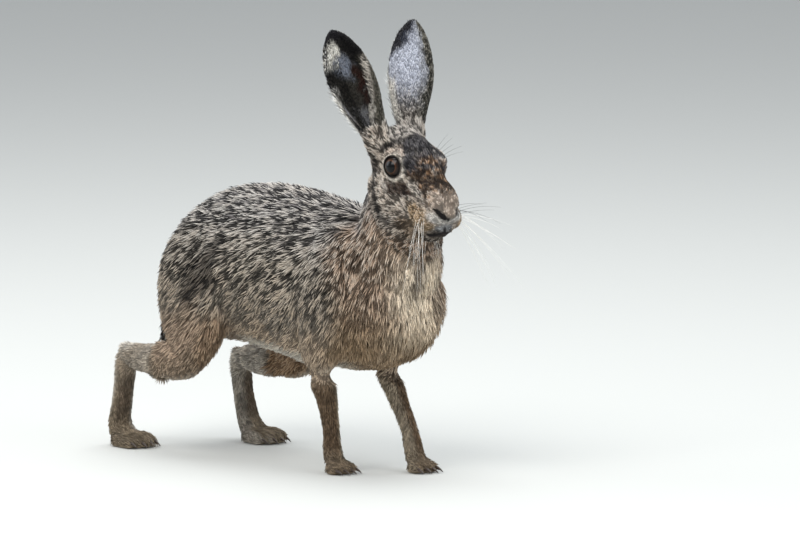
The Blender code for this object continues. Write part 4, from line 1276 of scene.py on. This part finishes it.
def build_ear_fringe(skin, weights):
    """Longer hairs on the ears' rims: white low down the rear edge, pale over the cup, dark to the tip."""
    points, normals = mesh_arrays(skin.data)
    share, rear, inward, along = in_ear(points - LAYOUT_TO_ROW, normals)
    rim = (share_of(weights, "ear") > 0.6) & (inward > 0.30) & (np.abs(rear) > 0.45)
    rim = rim & (share > 0.10) & (share < 0.93)
    rng = np.random.default_rng(12)
    index = rng.permutation(np.flatnonzero(rim))[:FRINGE_HAIRS]
    count = len(index)
    roots, ups, t, r = points[index], normals[index], share[index], rear[index]
    side = np.sign(r)
    low_rear = (side > 0) * ramp(t, 0.58, 0.46) * ramp(r, 0.74, 0.90)
    off_row = np.abs(r - ROW_PLACE + ROW_SLOPE * (t - ROW_START))
    row = (side < 0) * ramp(off_row / 0.20, 1.2, 0.7) * ramp(t, 0.72, 0.64)
    ups = unit(ups + 0.25 * rng.normal(0, 1, (count, 3)))
    outwards = np.zeros((count, 3))
    for name in EARS:
        mine = ear_of(roots - LAYOUT_TO_ROW) == (name == "left")
        outwards[mine] = ear_axes(name)[3] * side[mine, None]
    lean = -0.7 * row + 0.6 * low_rear - 0.5 * (side > 0) * (t > 0.66)
    lies = unit(along[index] + outwards * lean[:, None] + 0.15 * rng.normal(0, 1, (count, 3)))
    lies = unit(lies - ups * np.sum(lies * ups, axis=1, keepdims=True))
    long = (0.0030 + 0.0034 * low_rear + 0.0022 * row) * (0.6 + 0.7 * rng.random(count))
    wide = FRINGE_WIDTH * (0.8 + 0.5 * rng.random(count))
    tint = layered(
        "cup_black",
        ("cup_cream", (side > 0) * band(t, 0.70, 0.90, 0.04)),
        ("ear_outside", (side < 0) * ramp(t, 0.74, 0.66)),
        ("pale", row),
        (WHITE_HAIR, low_rear),
        ("ear_tip", ramp(t + 0.05 * rng.random(count), 0.87, 0.93)))
    tint = tint * np.where(rng.random(count) < 0.35, 0.22, 0.75 + 0.65 * rng.random(count))[:, None]
    patches = 0.05 + 0.9 * np.column_stack([(side > 0) * 0.5 + 0.45 * rng.random(count), t])
    first = np.radians(20 + 22 * rng.random(count))
    last = np.radians(rng.random(count) * 12)
    colours = [tint * 0.8, tint, tint * 1.1]
    mesh = tuft_mesh("coat_ear_fringe", roots, ups, lies, (long, wide, first, last), colours, patches, 2)
    dressed(mesh, coat_material("fringe_fur", 0.6, 1500.0, 0.0))


def build_floor():
    bpy.ops.mesh.primitive_plane_add(size=FLOOR_SIZE)
    floor = bpy.context.object
    floor.name = "studio_floor"
    floor.data.materials.append(plain_material("studio_floor", srgb(*FLOOR_COLOUR), 0.9))


def face_along(obj, direction):
    """Turns a lamp or the camera, which look along their own -Z, to look in a direction."""
    obj.rotation_mode = "QUATERNION"
    obj.rotation_quaternion = direction.to_track_quat("-Z", "Y")


def build_lights(aim):
    """A pale sky and soft lights that face the hare."""
    bpy.context.scene.view_settings.view_transform = "Standard"
    world = bpy.data.worlds.new("studio")
    bpy.context.scene.world = world
    world.use_nodes = True
    background = world.node_tree.nodes["Background"]
    background.inputs["Color"].default_value = SKY_COLOUR
    background.inputs["Strength"].default_value = SKY_STRENGTH
    for name, place, size, power, colour in LIGHTS:
        light = bpy.data.lights.new(name, "AREA")
        light.size = size
        light.energy = power
        light.color = colour
        lamp = link(name, light)
        lamp.location = place
        face_along(lamp, aim - lamp.location)


def build_camera(aim):
    azimuth, elevation = math.radians(VIEW_AZIMUTH), math.radians(VIEW_ELEVATION)
    level = math.cos(elevation)
    back = Vector((math.sin(azimuth) * level, -math.cos(azimuth) * level, math.sin(elevation)))
    camera = link("camera", bpy.data.cameras.new("camera"))
    camera.data.sensor_width = SENSOR_MM
    camera.data.lens = SENSOR_MM * VIEW_DISTANCE / FRAME_WIDTH_METRES
    camera.location = aim + back * VIEW_DISTANCE
    face_along(camera, -back)
    bpy.context.scene.camera = camera


def main():
    aim = Vector(VIEW_AIM) + Vector(LAYOUT_TO_ROW)
    build_floor()
    build_lights(aim)
    build_camera(aim)
    skin, net, weights, lie = build_skin()
    build_coat(skin, net, weights, lie)
    build_ear_fringe(skin, weights)
    build_eyes()
    build_claws()
    build_whiskers(skin)


main()
